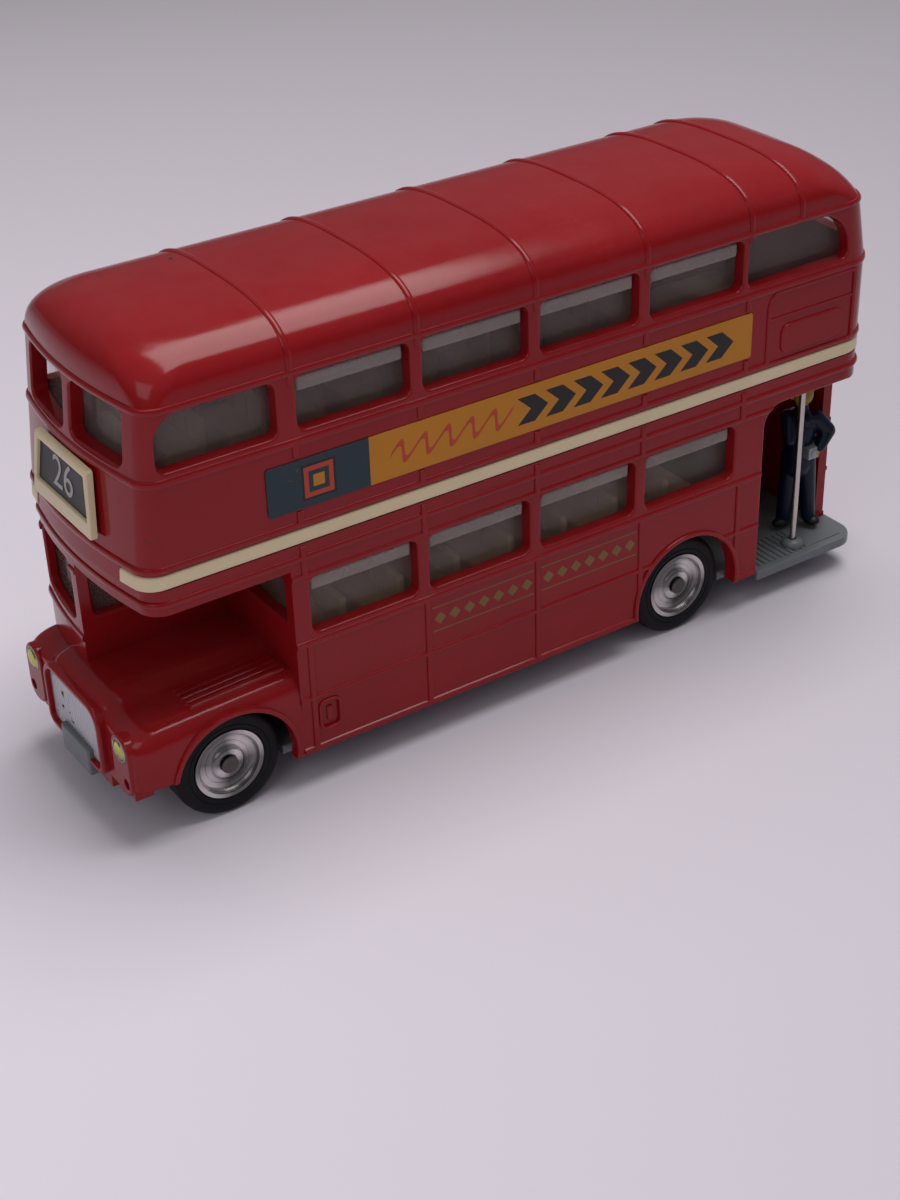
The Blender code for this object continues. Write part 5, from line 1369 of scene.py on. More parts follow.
    def panes(self) -> BMesh:
        """Build the cutters of the bulkhead's and the rear's panes and of the cab's inner side."""
        bm = bmesh.new()
        (low, high), corner = BUS.lower_window, BUS.window_round
        inner, sill = BUS.half - BUS.wall, low + self.inner_sill_rise
        bulkhead = (0.2 - inner, BUS.cab_side_y - BUS.wall, sill, high)
        opening(bm, wall_place(BUS.bulkhead_x), bulkhead, corner, self.bulkhead_cut)
        tail = (BUS.rear_wall_y + 3 * BUS.wall, inner - 2 * BUS.wall, low, high)
        opening(bm, rear_place, tail, corner, self.window_cut)
        side = (BUS.band_front_x + 2.1, BUS.bulkhead_x - 1.2, sill, high)
        opening(bm, lambda u, v, depth: (u, BUS.cab_side_y + depth, v), side, corner, self.inner_cut)
        return bm

    def doorway(self) -> BMesh:
        """Build the cutter of the open platform's doorway."""
        bm = bmesh.new()
        area = (BUS.platform_front_x, BUS.rear_x + 6.0, BUS.skirt_z - 4, BUS.platform_head_z)
        radii = (0.3, 0.3, BUS.window_round, 3.0)
        opening(bm, side_place(-1), area, radii, BUS.half + BUS.rear_wall_y, 0.3, 2.0)
        return bm

    def flap_area(self, grow: float) -> Area:
        """Give the filler flap's limits along and up, grown by an amount."""
        x, (low, high) = BUS.pillar_x(0) + self.flap_start, self.flap_heights
        return (x - grow, x + self.flap_length + grow, low - grow, high + grow)

    def flap(self, body: Thing) -> None:
        """Add the filler flap: a frame, its dish and the knob."""
        frame, dish, knob = (bmesh.new() for _ in range(3))
        pad(frame, side_place(-1), self.flap_area(0.4), 1.0, self.flap_proud, edge=0.24)
        opening(dish, side_place(-1, self.flap_proud), self.flap_area(0.0), 0.6, self.flap_proud + 0.15, 0.12)
        pad(knob, side_place(-1, -0.15), self.flap_area(-0.75), 0.3, 0.2, edge=0.15)
        change(body, Join.ADD, frame)
        change(body, Join.CUT, dish)
        change(body, Join.ADD, knob)

    def details(self) -> BMesh:
        """Build the cutters of the grille's recess, the lamps and the side lights."""
        bm = bmesh.new()
        surround, pods = (wall_place(BUS.nose_x - proud) for proud in (self.grille_proud, self.pod_proud))
        opening(bm, surround, self.grille_area(), self.grille_rounds, 0.7, 0.2, 2.0)
        for side in SIDES:
            for y, z, radius in ((BUS.lamp_y, BUS.lamp_z, BUS.lamp_radius + 0.1), self.side_light):
                opening(bm, pods, around(side * y, z, radius), radius, 1.2, 0.12, 3.0)
        return bm

    def feet(self) -> list[BMesh]:
        """Build the cutters under the wings, under the pods, round the bumper and under the skirt."""
        cutters = []
        back, foot = BUS.front_axle_x - 3.55, BUS.skirt_z - PAST
        wings, pods = BUS.lamp_y + self.pod_half, self.grille_half + self.grille_rim
        for start, head in ((wings, self.wing_foot), (pods, self.pod_foot)):
            spans = [sorted((side * start, side * FAR)) for side in SIDES]
            cutters.append(boxes(*(((-FAR, low, foot), (back, high, head)) for low, high in spans)))
        half, head = self.bumper_gap
        cutters.append(boxes(((-FAR, -half, foot), (BUS.front_x + 1.5, half, head))))
        return [*cutters, boxes(((-FAR, -FAR, -6), (FAR, FAR, BUS.skirt_z)))]

    def build(self) -> Thing:
        """Build the whole casting."""
        body = change(self.outer(), Join.ADD, self.strips())
        bay = ((-FAR, -FAR, BUS.skirt_z - PAST), (BUS.bulkhead_x, BUS.cab_side_y, BUS.frieze_z))
        change(body, Join.CUT, boxes(bay))
        lips = self.arches(self.lip_profile, True)
        change(body, Join.ADD, self.bonnet(), self.nose_trims(), self.ridges(), lips)
        wells = self.arches(self.well_profile, False)
        change(body, Join.CUT, *self.hollows(), self.windows(), self.panes(), self.doorway(), wells)
        self.flap(body)
        return change(body, Join.CUT, self.details(), *self.feet())

    def grille(self) -> BMesh:
        """Build the silver floor of the grille with very low upright waves."""
        bm = bmesh.new()
        place, area = wall_place(BUS.nose_x - 0.27), self.grille_area(-0.06)
        pad(bm, place, area, [radius - 0.05 for radius in self.grille_rounds], 0.03, 0.04, edge=0.02)
        for index in range(-self.slats, self.slats + 1):
            y, half = index * self.slat_pitch, self.slat_half
            trim = 1.4 if abs(index) == self.slats else 0.35
            pad(bm, place, (y - half, y + half, area[2] + trim, area[3] - trim), 0.12, 0.1, 0.0, edge=0.09)
        return bm

    def dress(self) -> None:
        """Build the casting and the grille and finish them as pieces."""
        Piece("lower_casting", "red_paint", PAINT, ("lower_body",)).make(self.build())
        Piece("grille_silver", "red_paint", SILVER).make(self.grille())


# Mouldings


@dataclass
class Mouldings:
    """Cream band between the decks, seats, staircase and clear parts."""

    seat_pitch: float = 8.35
    seat_depth: float = 4.2
    seat_height: float = 3.2
    back_height: float = 6.6
    back_depth: float = 1.1
    bar: float = 0.12
    gangway: float = 4.2
    upper_rows: int = 10
    lower_rows: int = 7
    lower_floor: float = 15.2
    lower_end: float = 34.2
    saloon_half: float = 12.9
    boss_foot: float = 6.1
    band_edge: Flats = ((0.0, 0.12), (0.05, 0.02), (0.16, -0.07), (0.3, -0.1))
    stair_start: float = 34.3
    stair_width: float = 6.0
    stair_rise: float = 2.8
    stair_steps: int = 5
    glass: float = 0.8
    fit: float = 0.15
    cab_heights: Flat = (21.0, 30.5)

    def bench(self, bm: BMesh, x: float, floor: float, reach: Flat) -> None:
        """Add one seat with a softly rounded cushion and back."""
        low, high = sorted(reach)
        back, seat, top = x + self.seat_depth, floor + self.seat_height, floor + self.back_height
        block(bm, (x, low, floor), (back + 0.2, high, seat), 0.45, 3)
        block(bm, (back, low, floor), (back + self.back_depth, high, top), 0.42, 3)
        for index in (1, 2):
            y = low + (high - low) * index / 3
            block(bm, (back - self.bar, y - self.bar, seat), (back + 0.3, y + self.bar, top - 0.8), 0.08)

    def benches(self, bm: BMesh, rows: int, start: float, floor: float, half: float) -> None:
        """Add the seats of a deck on both sides of the gangway."""
        for side in SIDES:
            reach = (side * (half - 0.4), side * (self.gangway + half - BUS.half + BUS.wall))
            low, high = sorted(reach)
            block(bm, (start, low, floor - 0.3), (start + rows * self.seat_pitch, high, floor + 0.5), 0.1)
            for row in range(rows):
                self.bench(bm, start + row * self.seat_pitch, floor, reach)

    def band(self) -> Thing:
        """Build the cream band with its rounded edges and the gap for the front apron."""
        top = BUS.band_z + BUS.band_height
        levels = [(BUS.band_z + rise, inset) for rise, inset in self.band_edge]
        levels += [(top - rise, inset) for rise, inset in reversed(self.band_edge)]
        reach = UpperShell.apron_half + 0.1
        notch = ((-FAR, -reach, BUS.band_z - PAST), (BUS.band_front_x + 3.4, reach, top + PAST))
        return change(solid(loft([OUTLINE.level(z, inset) for z, inset in levels])), Join.CUT, boxes(notch))

    def upper_seats(self) -> BMesh:
        """Build the upper deck's seats."""
        bm = bmesh.new()
        start = BUS.band_front_x + 3.2 + BUS.wall + 2.0
        self.benches(bm, self.upper_rows, start, BUS.band_z + BUS.band_height, BUS.half - BUS.wall)
        return bm

    def lower_seats(self) -> BMesh:
        """Build the lower saloon's floor, seats and rivet bosses."""
        bm = bmesh.new()
        start = BUS.bulkhead_x + BUS.bulkhead_depth + self.glass + 3 * self.fit
        floor, head, foot = self.lower_floor + 1.0, self.lower_floor + 0.5, self.boss_foot
        half = self.saloon_half
        block(bm, (start, -half, self.lower_floor), (self.lower_end, half, floor), 0.15)
        self.benches(bm, self.lower_rows, start + 1.0, floor, half)
        profile = [(1.05, foot), (1.9, foot), (2.05, foot + 0.15), (2.05, head), (1.05, head)]
        for x in BUS.rivets_x:
            lathe(bm, profile, Matrix.Translation((x, 0, 0)), 48)
        return bm

    def stairs(self) -> BMesh:
        """Build the staircase with rounded nosings."""
        bm = bmesh.new()
        outer = self.saloon_half - BUS.wall
        inner = outer - self.stair_width
        run = (BUS.rear_x - BUS.wall - 0.25 - self.stair_start) / self.stair_steps
        end = self.stair_start + self.stair_steps * run
        for step in range(self.stair_steps):
            level = self.lower_floor + 2.0 + step * self.stair_rise
            foot = level - 4.6 if step else self.boss_foot
            block(bm, (self.stair_start + step * run, inner, foot), (end, outer, level), 0.3, 3)
        block(bm, (self.stair_start, inner, self.boss_foot), (end, outer, self.lower_floor + 1.6), 0.2)
        return bm

    def hoppers(self, top: float) -> BMesh:
        """Build the raised ventilator bars in the tops of the side windows."""
        bm = bmesh.new()
        half = BUS.window_length / 2 - 0.5
        face = BUS.half - BUS.wall - self.fit
        for x in map(BUS.bay_x, range(BUS.bays)):
            for side in SIDES:
                low, high = sorted((side * (face - 0.4), side * (face + 1.1)))
                block(bm, (x - half, low, top - 1.9), (x + half, high, top), 0.32, 3)
        return bm

    def upper_glass(self) -> Thing:
        """Build the upper deck's clear moulding."""
        low, high = BUS.upper_belt_z + 0.4, BUS.upper_window[1] + 0.6
        middle, outset = (low + high) / 2, BUS.wall + self.fit
        inner = [OUTLINE.level(z, outset + self.glass) for z in (low - 1, low, middle, high, high + 1)]
        outer = [OUTLINE.level(z, outset) for z in (low, middle, high)]
        return change(solid(loft(outer)), Join.CUT, loft(inner))

    def lower_glass(self) -> Thing:
        """Build the lower saloon's clear moulding, open at its top, its floor and its rear."""
        half, glass = BUS.half - BUS.wall - self.fit, self.glass
        foot, head = BUS.lower_belt_z + 0.4, BUS.lower_window[1] + 0.6
        front, back = BUS.bulkhead_x + BUS.bulkhead_depth + self.fit, BUS.pillar_x(BUS.bays) + 1.5
        core = ((front + glass, glass - half, foot - 1), (back + 1, half - glass, head + 1))
        return change(solid(boxes(((front, -half, foot), (back, half, head)))), Join.CUT, boxes(core))

    def cab_glass(self) -> Thing:
        """Build the cab's clear moulding, bowed like the cab's front and open to the bulkhead."""
        foot, head = self.cab_heights
        inner = []
        for z in (foot - 1.0, head + 1.0):
            loop = cab_outline(z, self.fit + self.glass)
            inner.append([(x + 9.0, y, z) for x, y, z in loop[:2]] + loop[2:])
        return change(solid(loft([cab_outline(z, self.fit) for z in (foot, head)])), Join.CUT, loft(inner))

    def dress(self) -> None:
        """Build every moulding and finish it as a piece."""
        pieces = (
            ("cream_band", "cream_plastic", CREAM, "deck_moulding", self.band),
            ("upper_deck_seats", "cream_plastic", SEAT, "deck_moulding", self.upper_seats),
            ("saloon_seats", "seat_plastic", SEAT, "lower_seats", self.lower_seats),
            ("stair_block", "seat_plastic", SEAT, "staircase", self.stairs),
            ("upper_windows", "clear_plastic", CLEAR, "upper_glazing", self.upper_glass),
            ("saloon_windows", "clear_plastic", CLEAR, "lower_glazing", self.lower_glass),
            ("cab_windows", "clear_plastic", CLEAR, "cab_glazing", self.cab_glass),
        )
        for name, slot, finish, node, shape in pieces:
            Piece(name, slot, finish, (node,)).make(shape())
        # The ventilator bars take the lighter copy of the clear finish: painted sheen.
        for deck, window in (("upper", BUS.upper_window), ("saloon", BUS.lower_window)):
            Piece(f"{deck}_ventilators", "clear_plastic", SHEEN_BARS).make(self.hoppers(window[1] - 0.4))


# Base, running gear and fittings


@dataclass
class Chassis:
    """Base plate, platform, bumper, pole cup, lugs, pole, axles and rivets."""

    plate_height: float = 1.3
    well_half: float = 7.7
    well_y: float = 9.2
    well_top: float = 14.2
    platform_end: float = 57.5
    platform_rounds: tuple[float, ...] = (0.3, 3.2, 3.2, 0.3)
    platform_edge: Flats = ((-1.4, -0.15), (-1.3, 0.0), (-0.28, 0.0), (-0.1, -0.08), (0.0, -0.28))
    treads: int = 9
    tread_pitch: float = 0.99
    tread: float = 0.45
    edge_line: Flat = (48.6, 55.2)
    pole: Flat = (47.5, -13.0)
    pole_radius: float = 0.45
    cup: Flats = (
        (0.0, -0.2), (1.45, -0.2), (1.58, 0.1), (1.6, 0.45), (1.45, 0.85), (1.1, 1.12), (0.62, 1.2),
        (0.55, 1.0), (0.0, 0.95),
    )
    bumper_half: float = 3.9
    bumper_top: float = 8.5
    arm_half: float = 2.9
    lug_y: float = 7.0
    lug: Point = (1.9, 0.9, 9.2)
    axle_reach: float = 14.55
    axle_end: Flats = (
        (0.8, 0.0), (1.05, 0.0), (1.15, 0.08), (1.12, 0.22), (0.8, 0.34), (0.42, 0.35), (0.3, 0.28),
        (0.0, 0.26),
    )
    rivet: Flats = (
        (0.0, 4.72), (0.6, 4.74), (1.1, 4.86), (1.4, 5.06), (1.5, 5.3), (1.0, 5.3), (1.0, 13.7), (0.0, 13.7)
    )

    def plate(self) -> Thing:
        """Build the base plate with its wheel wells and the platform as one casting."""
        half = BUS.half - BUS.wall - 0.25
        low, high = BUS.base_z, BUS.base_z + self.plate_height
        corners = ((BUS.nose_x + 2.65, -half, low), (BUS.platform_front_x + 1.0, half, high))
        made = solid(boxes(corners, bevel=0.2))
        wells = []
        for x in (BUS.front_axle_x, BUS.rear_axle_x):
            for side in SIDES:
                near, far = sorted((side * self.well_y, side * FAR))
                start = x - self.well_half if x > 0 else -FAR
                wells.append(((start, near, -6), (x + self.well_half, far, self.well_top)))
        change(made, Join.CUT, boxes(*wells))
        area = (BUS.platform_front_x + 0.25, self.platform_end, -BUS.half, BUS.half)
        rings = []
        for rise, grow in self.platform_edge:
            outline = grown(area, self.platform_rounds, grow)
            rings.append([(x, y, BUS.platform_top_z + rise) for x, y in outline])
        return change(made, Join.ADD, loft(rings))

    def trims(self) -> BMesh:
        """Build the treads, the edge lines, the pole's cup, the bumper, its arm and the axle lugs."""
        bm = bmesh.new()
        top, edge = BUS.platform_top_z, -BUS.half
        for index in range(self.treads):
            x = BUS.platform_front_x + 1.6 + index * self.tread_pitch
            block(bm, (x, edge + 1.0, top - 0.15), (x + self.tread, BUS.rear_wall_y, top + 0.2), 0.1)
        start, end = self.edge_line
        block(bm, (start, edge + 1.4, top - 0.15), (start + 0.5, BUS.rear_wall_y, top + 0.16), 0.08)
        block(bm, (start, edge + 1.2, top - 0.15), (end, edge + 1.65, top + 0.16), 0.08)
        lathe(bm, self.cup, Matrix.Translation((*self.pole, top)), 48, closed=False)
        front, half, arm = BUS.front_x, self.bumper_half, self.arm_half
        block(bm, (front, -half, BUS.base_z), (front + 1.4, half, self.bumper_top), 0.35, 4)
        block(bm, (front + 0.7, -arm, BUS.base_z - 0.4), (BUS.nose_x + 2.9, arm, BUS.base_z + 0.2), 0.1)
        along, across, head = self.lug
        for axle in (BUS.front_axle_x, BUS.rear_axle_x):
            for y in (-self.lug_y, self.lug_y):
                low = (axle - along, y - across, BUS.base_z + 0.3)
                block(bm, low, (axle + along, y + across, head), 0.35, 3)
        return bm

    def pole_shape(self) -> BMesh:
        """Build the pole with slightly rounded ends."""
        low, high = BUS.platform_top_z - 0.3, BUS.band_z - 0.1
        radius = self.pole_radius
        profile = [(0.0, low), (radius, low), (radius, high - 0.1), (radius - 0.1, high), (0.0, high)]
        return turned(profile, Matrix.Translation((*self.pole, 0)), 40)

    def axle(self, x: float) -> BMesh:
        """Build one axle with its spread ends."""
        end = [(radius, self.axle_reach + out) for radius, out in self.axle_end]
        return turned([(radius, -place) for radius, place in reversed(end)] + end, across_axis(x, BUS.axle_z))

    def dress(self) -> None:
        """Build the chassis pieces and finish them."""
        Piece("base_plate", "grey_paint", GREY, ("base",)).make(self.plate())
        Piece("base_trims", "grey_paint", GREY, ("base",)).make(self.trims())
        Piece("grab_pole", "steel", STEEL, ("platform_pole",)).make(self.pole_shape())
        for name, x in (("front_axle", BUS.front_axle_x), ("rear_axle", BUS.rear_axle_x)):
            Piece(f"{name}_pin", "dark_steel", AXLE_STEEL, (name,)).make(self.axle(x))
        for name, x in zip(("front_rivet", "rear_rivet"), BUS.rivets_x):
            rivet = turned(self.rivet, Matrix.Translation((x, 0, 0)))
            Piece(f"{name}_head", "steel", AXLE_STEEL, (name,)).make(rivet)


@dataclass
class Wheel:
    """A turned hub in a rubber tyre."""

    name: str
    body: BodyName
    x: float
    side: int
    outer: float = 14.6
    width: float = 4.4
    radius: float = 4.7
    bore: float = 0.86
    tyre_radius: float = 7.1
    tyre_width: float = 4.6
    shoulder: float = 0.9
    shoulder_steps: int = 6
    face: Flats = (
        (4.7, -0.1), (4.64, 0.0), (4.2, 0.0), (4.1, -0.06), (4.02, -0.3), (3.86, -0.62), (3.66, -0.8),
        (3.4, -0.86), (2.98, -0.8), (2.92, -0.74), (2.86, -0.78), (2.42, -0.7), (2.26, -0.62),
        (2.16, -0.5), (2.06, -0.34), (1.9, -0.24), (1.5, -0.2), (1.02, -0.2), (0.9, -0.26), (0.86, -0.36),
    )
    bead_line: Flats = ((5.62, 0.0), (5.55, -0.07), (5.45, -0.07), (5.38, 0.0))

    def turned(self, profile: Sequence[Flat]) -> BMesh:
        """Turn a closed profile about the wheel's own axis."""
        return turned(profile, across_axis(self.x, BUS.axle_z, self.side), 128, True)

    def hub(self) -> BMesh:
        """Build the hub: a thin rim, a dished ring with turned steps and a raised boss."""
        inner = self.outer - self.width
        face = [(radius, self.outer + depth) for radius, depth in self.face]
        return self.turned([(self.bore, inner), (self.radius, inner), *face])

    def tyre(self) -> BMesh:
        """Build the tyre with round shoulders and a bead line."""
        out, inner = self.outer, self.outer - self.tyre_width
        well = self.radius + 0.05
        half = []
        for step in range(self.shoulder_steps + 1):
            angle = step / self.shoulder_steps * math.pi / 2
            radius = self.tyre_radius - self.shoulder + self.shoulder * math.sin(angle)
            half.append((radius, self.shoulder - self.shoulder * math.cos(angle)))
        profile = [(well, inner + 0.12), (well + 0.15, inner), (5.5, inner)]
        profile += [(radius, inner + depth) for radius, depth in half]
        profile += [(radius, out - depth) for radius, depth in reversed(half)]
        profile += [(radius, out + depth) for radius, depth in self.bead_line]
        return self.turned([*profile, (well + 0.2, out), (well, out - 0.15)])

    def dress(self) -> None:
        """Build the wheel's pieces and finish them."""
        end = "rear" if self.x > 0 else "front"
        metal = TurnedFinish(
            f"turned_aluminium_{end}", (0.66, 0.63, 0.62), roughness=0.26, metallic=1.0, variation=0.06,
            centre=(self.x, 0.0, BUS.axle_z),
        )
        name, body = self.name, self.body
        Piece(f"{name}_hub_face", "turned_aluminium", metal, (f"{name}_hub",), body).make(self.hub())
        Piece(f"{name}_tyre_ring", "black_rubber", RUBBER, (f"{name}_tyre",), body).make(self.tyre())


@dataclass
class Lamps:
    """Faceted jewels of the headlamps, each in a thin bright bezel."""

    sides: int = 12
    fill: float = 0.93
    proud: float = 0.3
    facets: tuple[Point, ...] = ((1.2, 1.0, 0.0), (0.0, 1.0, 0.0), (-0.2, 0.78, 0.5), (-0.42, 0.36, 0.0))
    bezel_proud: float = 0.42

    def jewel(self, side: int) -> BMesh:
        """Build one jewel with two rows of facets and a small table."""
        rings = []
        for depth, share, turn in self.facets:
            x, reach = BUS.nose_x - self.proud + depth, BUS.lamp_radius * share * self.fill
            angles = [(step + turn) / self.sides * FULL_TURN for step in range(self.sides)]
            y, z = side * BUS.lamp_y, BUS.lamp_z
            rings.append([(x, y + reach * math.cos(a), z + reach * math.sin(a)) for a in angles])
        return loft(rings)

    def bezel(self, side: int) -> BMesh:
        """Build one bezel round a jewel."""
        place = Matrix.Translation((BUS.nose_x, side * BUS.lamp_y, BUS.lamp_z))
        out, radius = self.bezel_proud, BUS.lamp_radius
        profile = [(radius * 0.95, -0.5), (radius + 0.08, -0.5), (radius + 0.08, out - 0.06)]
        profile += [(radius + 0.02, out), (radius * 0.99, out), (radius * 0.95, out - 0.06)]
        return turned(profile, place @ Matrix.Rotation(-math.pi / 2, 4, "Y"), 64, True)

    def dress(self) -> None:
        """Build the jewels and bezels and finish them."""
        for side, name in SIDE_NAMES:
            Piece(f"jewel_{name}", "jewel", JEWEL, (f"headlamp_{name}",), sharp=1.0).make(self.jewel(side))
            Piece(f"bezel_{name}", "jewel", SILVER).make(self.bezel(side))


@dataclass
class Labels:
    """Destination box with its blind, advert strips and the gold line on the lower panels."""

    top_half: float = 6.9
    bottom_half: float = 7.7
    low: float = 38.4
    height: float = 8.1
    rim: float = 0.9
    sill: float = 1.9
    frame_stations: Flats = ((0.1, 0.0), (0.75, 0.0), (0.9, -0.07), (0.97, -0.17), (1.0, -0.3))
    recess_stations: Flats = ((1.6, 0.2), (1.0, 0.2), (0.93, 0.06), (0.8, 0.0), (0.5, 0.0))
    number: str = "26"
    number_size: float = 5.6
    number_depth: float = 0.62
    strip: Area = (-36.7, 34.9, 38.8, 45.0)
    gold_spans: Flats = ((-15.2, 0.2), (1.4, 16.8))
    gold_heights: Flat = (15.5, 18.9)
    lozenges: int = 7
    lozenge_z: float = 17.28
    lozenge_half: float = 0.85
    lozenge_margin: float = 1.1

    def panel(self, inset: float, sill: float, corner: float, stations: Iterable[Flat]) -> BMesh:
        """Build a four-sided panel that leans with the front.

        Args:
            inset: How far its top and sides lie inside the box's.
            sill: How far its foot lies above the box's.
            corner: The radius of its corners.
            stations: How far each level stands out of the front and how much it grows.

        Returns:
            The panel's mesh.
        """
        low, high = self.low + sill, self.low + self.height - inset
        top, bottom = self.top_half - inset, self.bottom_half - inset
        rings = []
        for depth, grow in stations:
            points = []
            for u, v in rounded(-1.0, 1.0, low - grow, high + grow, (corner,) * 4, 4):
                reach = bottom + (top - bottom) * (v - low) / (high - low) + grow
                y = math.copysign(reach - (1.0 - abs(u)), u)
                points.append((OUTLINE.front_at(v) - depth, y, v))
            rings.append(points)
        return loft(rings)

    def box(self) -> Thing:
        """Build the cream frame with rounded edges and its recess."""
        recess = self.panel(self.rim, self.sill, 0.2, self.recess_stations)
        return change(solid(self.panel(0.0, 0.0, 0.35, self.frame_stations)), Join.CUT, recess)

    def blind(self) -> BMesh:
        """Build the black paper in the box."""
        return self.panel(self.rim + 0.05, self.sill + 0.05, 0.15, ((0.5, 0.0), (0.58, 0.0)))

    def figures(self) -> BMesh:
        """Build the route number from outlines of its figures."""
        curve = bpy.data.curves.new("number", "FONT")
        curve.body, curve.size, curve.extrude, curve.resolution_u = self.number, self.number_size, 0.02, 6
        curve.align_x = curve.align_y = "CENTER"
        holder = placed("number", curve)
        depsgraph = bpy.context.evaluated_depsgraph_get()
        mesh = bpy.data.meshes.new_from_object(holder.evaluated_get(depsgraph))
        bpy.data.objects.remove(holder)
        bm = bmesh.new()
        bm.from_mesh(mesh)
        bpy.data.meshes.remove(mesh)
        middle = (self.low + self.sill + self.low + self.height - self.rim) / 2
        for vert in bm.verts:
            across, up, out = vert.co
            z = middle + up
            vert.co = (OUTLINE.front_at(z) - self.number_depth - out, -across, z)
        bmesh.ops.recalc_face_normals(bm, faces=bm.faces)
        return bm

    def advert(self, side: int) -> BMesh:
        """Build one advert strip with small round corners."""
        bm = bmesh.new()
        pad(bm, side_place(side, 0.05), self.strip, 0.35, 0.12, 0.0, edge=0.03)
        return bm

    def gold_line(self, side: int) -> BMesh:
        """Build the thin gold lines and the small lozenges on the lower panels."""
        bm = bmesh.new()
        place, size, level = side_place(side), self.lozenge_half, self.lozenge_z
        margin = self.lozenge_margin
        for low, high in self.gold_spans:
            for z in self.gold_heights:
                pad(bm, place, (low, high, z, z + 0.16), 0.05, 0.03, 0.1, edge=0.01)
            for index in range(self.lozenges):
                x = low + margin + index * (high - low - 2 * margin) / (self.lozenges - 1)
                corners = ((x - size, level), (x, level - size), (x + size, level), (x, level + size))
                skin(bm, [[place(u, v, depth) for u, v in corners] for depth in (0.1, -0.03)])
        return bm

    def dress(self) -> None:
        """Build the labels and finish them."""
        Piece("destination_frame", "cream_plastic", CREAM, ("destination_box",)).make(self.box())
        Piece("blind_paper", "black_paper", BLACK_PAPER, ("destination_blind",)).make(self.blind())
        Piece("route_number", "black_paper", WHITE_INK).make(self.figures())
        for side, name in SIDE_NAMES:
            Piece(f"strip_{name}", "paper", LABEL, (f"advert_{name}",)).make(self.advert(side))
            Piece(f"gold_line_{name}", "paper", GOLD_INK).make(self.gold_line(side))


# Figures

Ball = tuple[Point, Point]
Limb = tuple[Point, Point, Flat]
Forms = tuple[Ball | Limb, ...]


@dataclass
class Figure:
    """A small painted figure made of soft shapes that are melted together."""

    origin: Point
    unit: float
    cell: float = 0.16

    def at(self, x: float, y: float, z: float) -> Vector:
        """Give a point in the figure's own units."""
        return Vector(self.origin) + Vector((x, y, z)) * self.unit

    def ball(self, bm: BMesh, centre: Point, radii: Point) -> None:
        """Add a stretched ball."""
        scale = Matrix.Diagonal((*(radius * self.unit for radius in radii), 1.0))
        matrix = Matrix.Translation(self.at(*centre)) @ scale
        bmesh.ops.create_icosphere(bm, subdivisions=3, radius=1.0, matrix=matrix)

    def limb(self, bm: BMesh, start: Point, end: Point, radii: Flat) -> None:
        """Add a tapering limb with round ends between two points."""
        a, b = self.at(*start), self.at(*end)
        turn = (b - a).to_track_quat("Z", "Y").to_matrix().to_4x4()
        low, high = (radius * self.unit for radius in radii)
        matrix = Matrix.Translation((a + b) / 2) @ turn
        bmesh.ops.create_cone(
            bm, cap_ends=True, segments=24, radius1=low, radius2=high, depth=(b - a).length, matrix=matrix
        )
        for centre, radius in ((a, low), (b, high)):
            matrix = Matrix.Translation(centre) @ Matrix.Scale(radius, 4)
            bmesh.ops.create_icosphere(bm, subdivisions=2, radius=1.0, matrix=matrix)

    def melt(self, forms: Forms) -> Thing:
        """Join balls and limbs into one soft skin.

        Args:
            forms: A ball's centre and radii, or a limb's start, end and two radii.

        Returns:
            The skin as a solid.
        """
        bm = bmesh.new()
        for form in forms:
            (self.limb if len(form) == 3 else self.ball)(bm, *form)
        made = solid(bm)
        remesh = made.modifiers.new("melt", "REMESH")
        remesh.mode = "VOXEL"
        remesh.voxel_size = self.cell
        relax = made.modifiers.new("relax", "SMOOTH")
        relax.factor = 0.5
        relax.iterations = 5
        return bake(made)

    def finish(self, owner: str, parts: Sequence[tuple[str, Finish, Forms]]) -> None:
        """Melt each part of the figure and finish it as a piece of its owner."""
        for name, finish, forms in parts:
            Piece(f"{owner}_{name}", "figure_plastic", finish, (owner,), sharp=80.0).make(self.melt(forms))


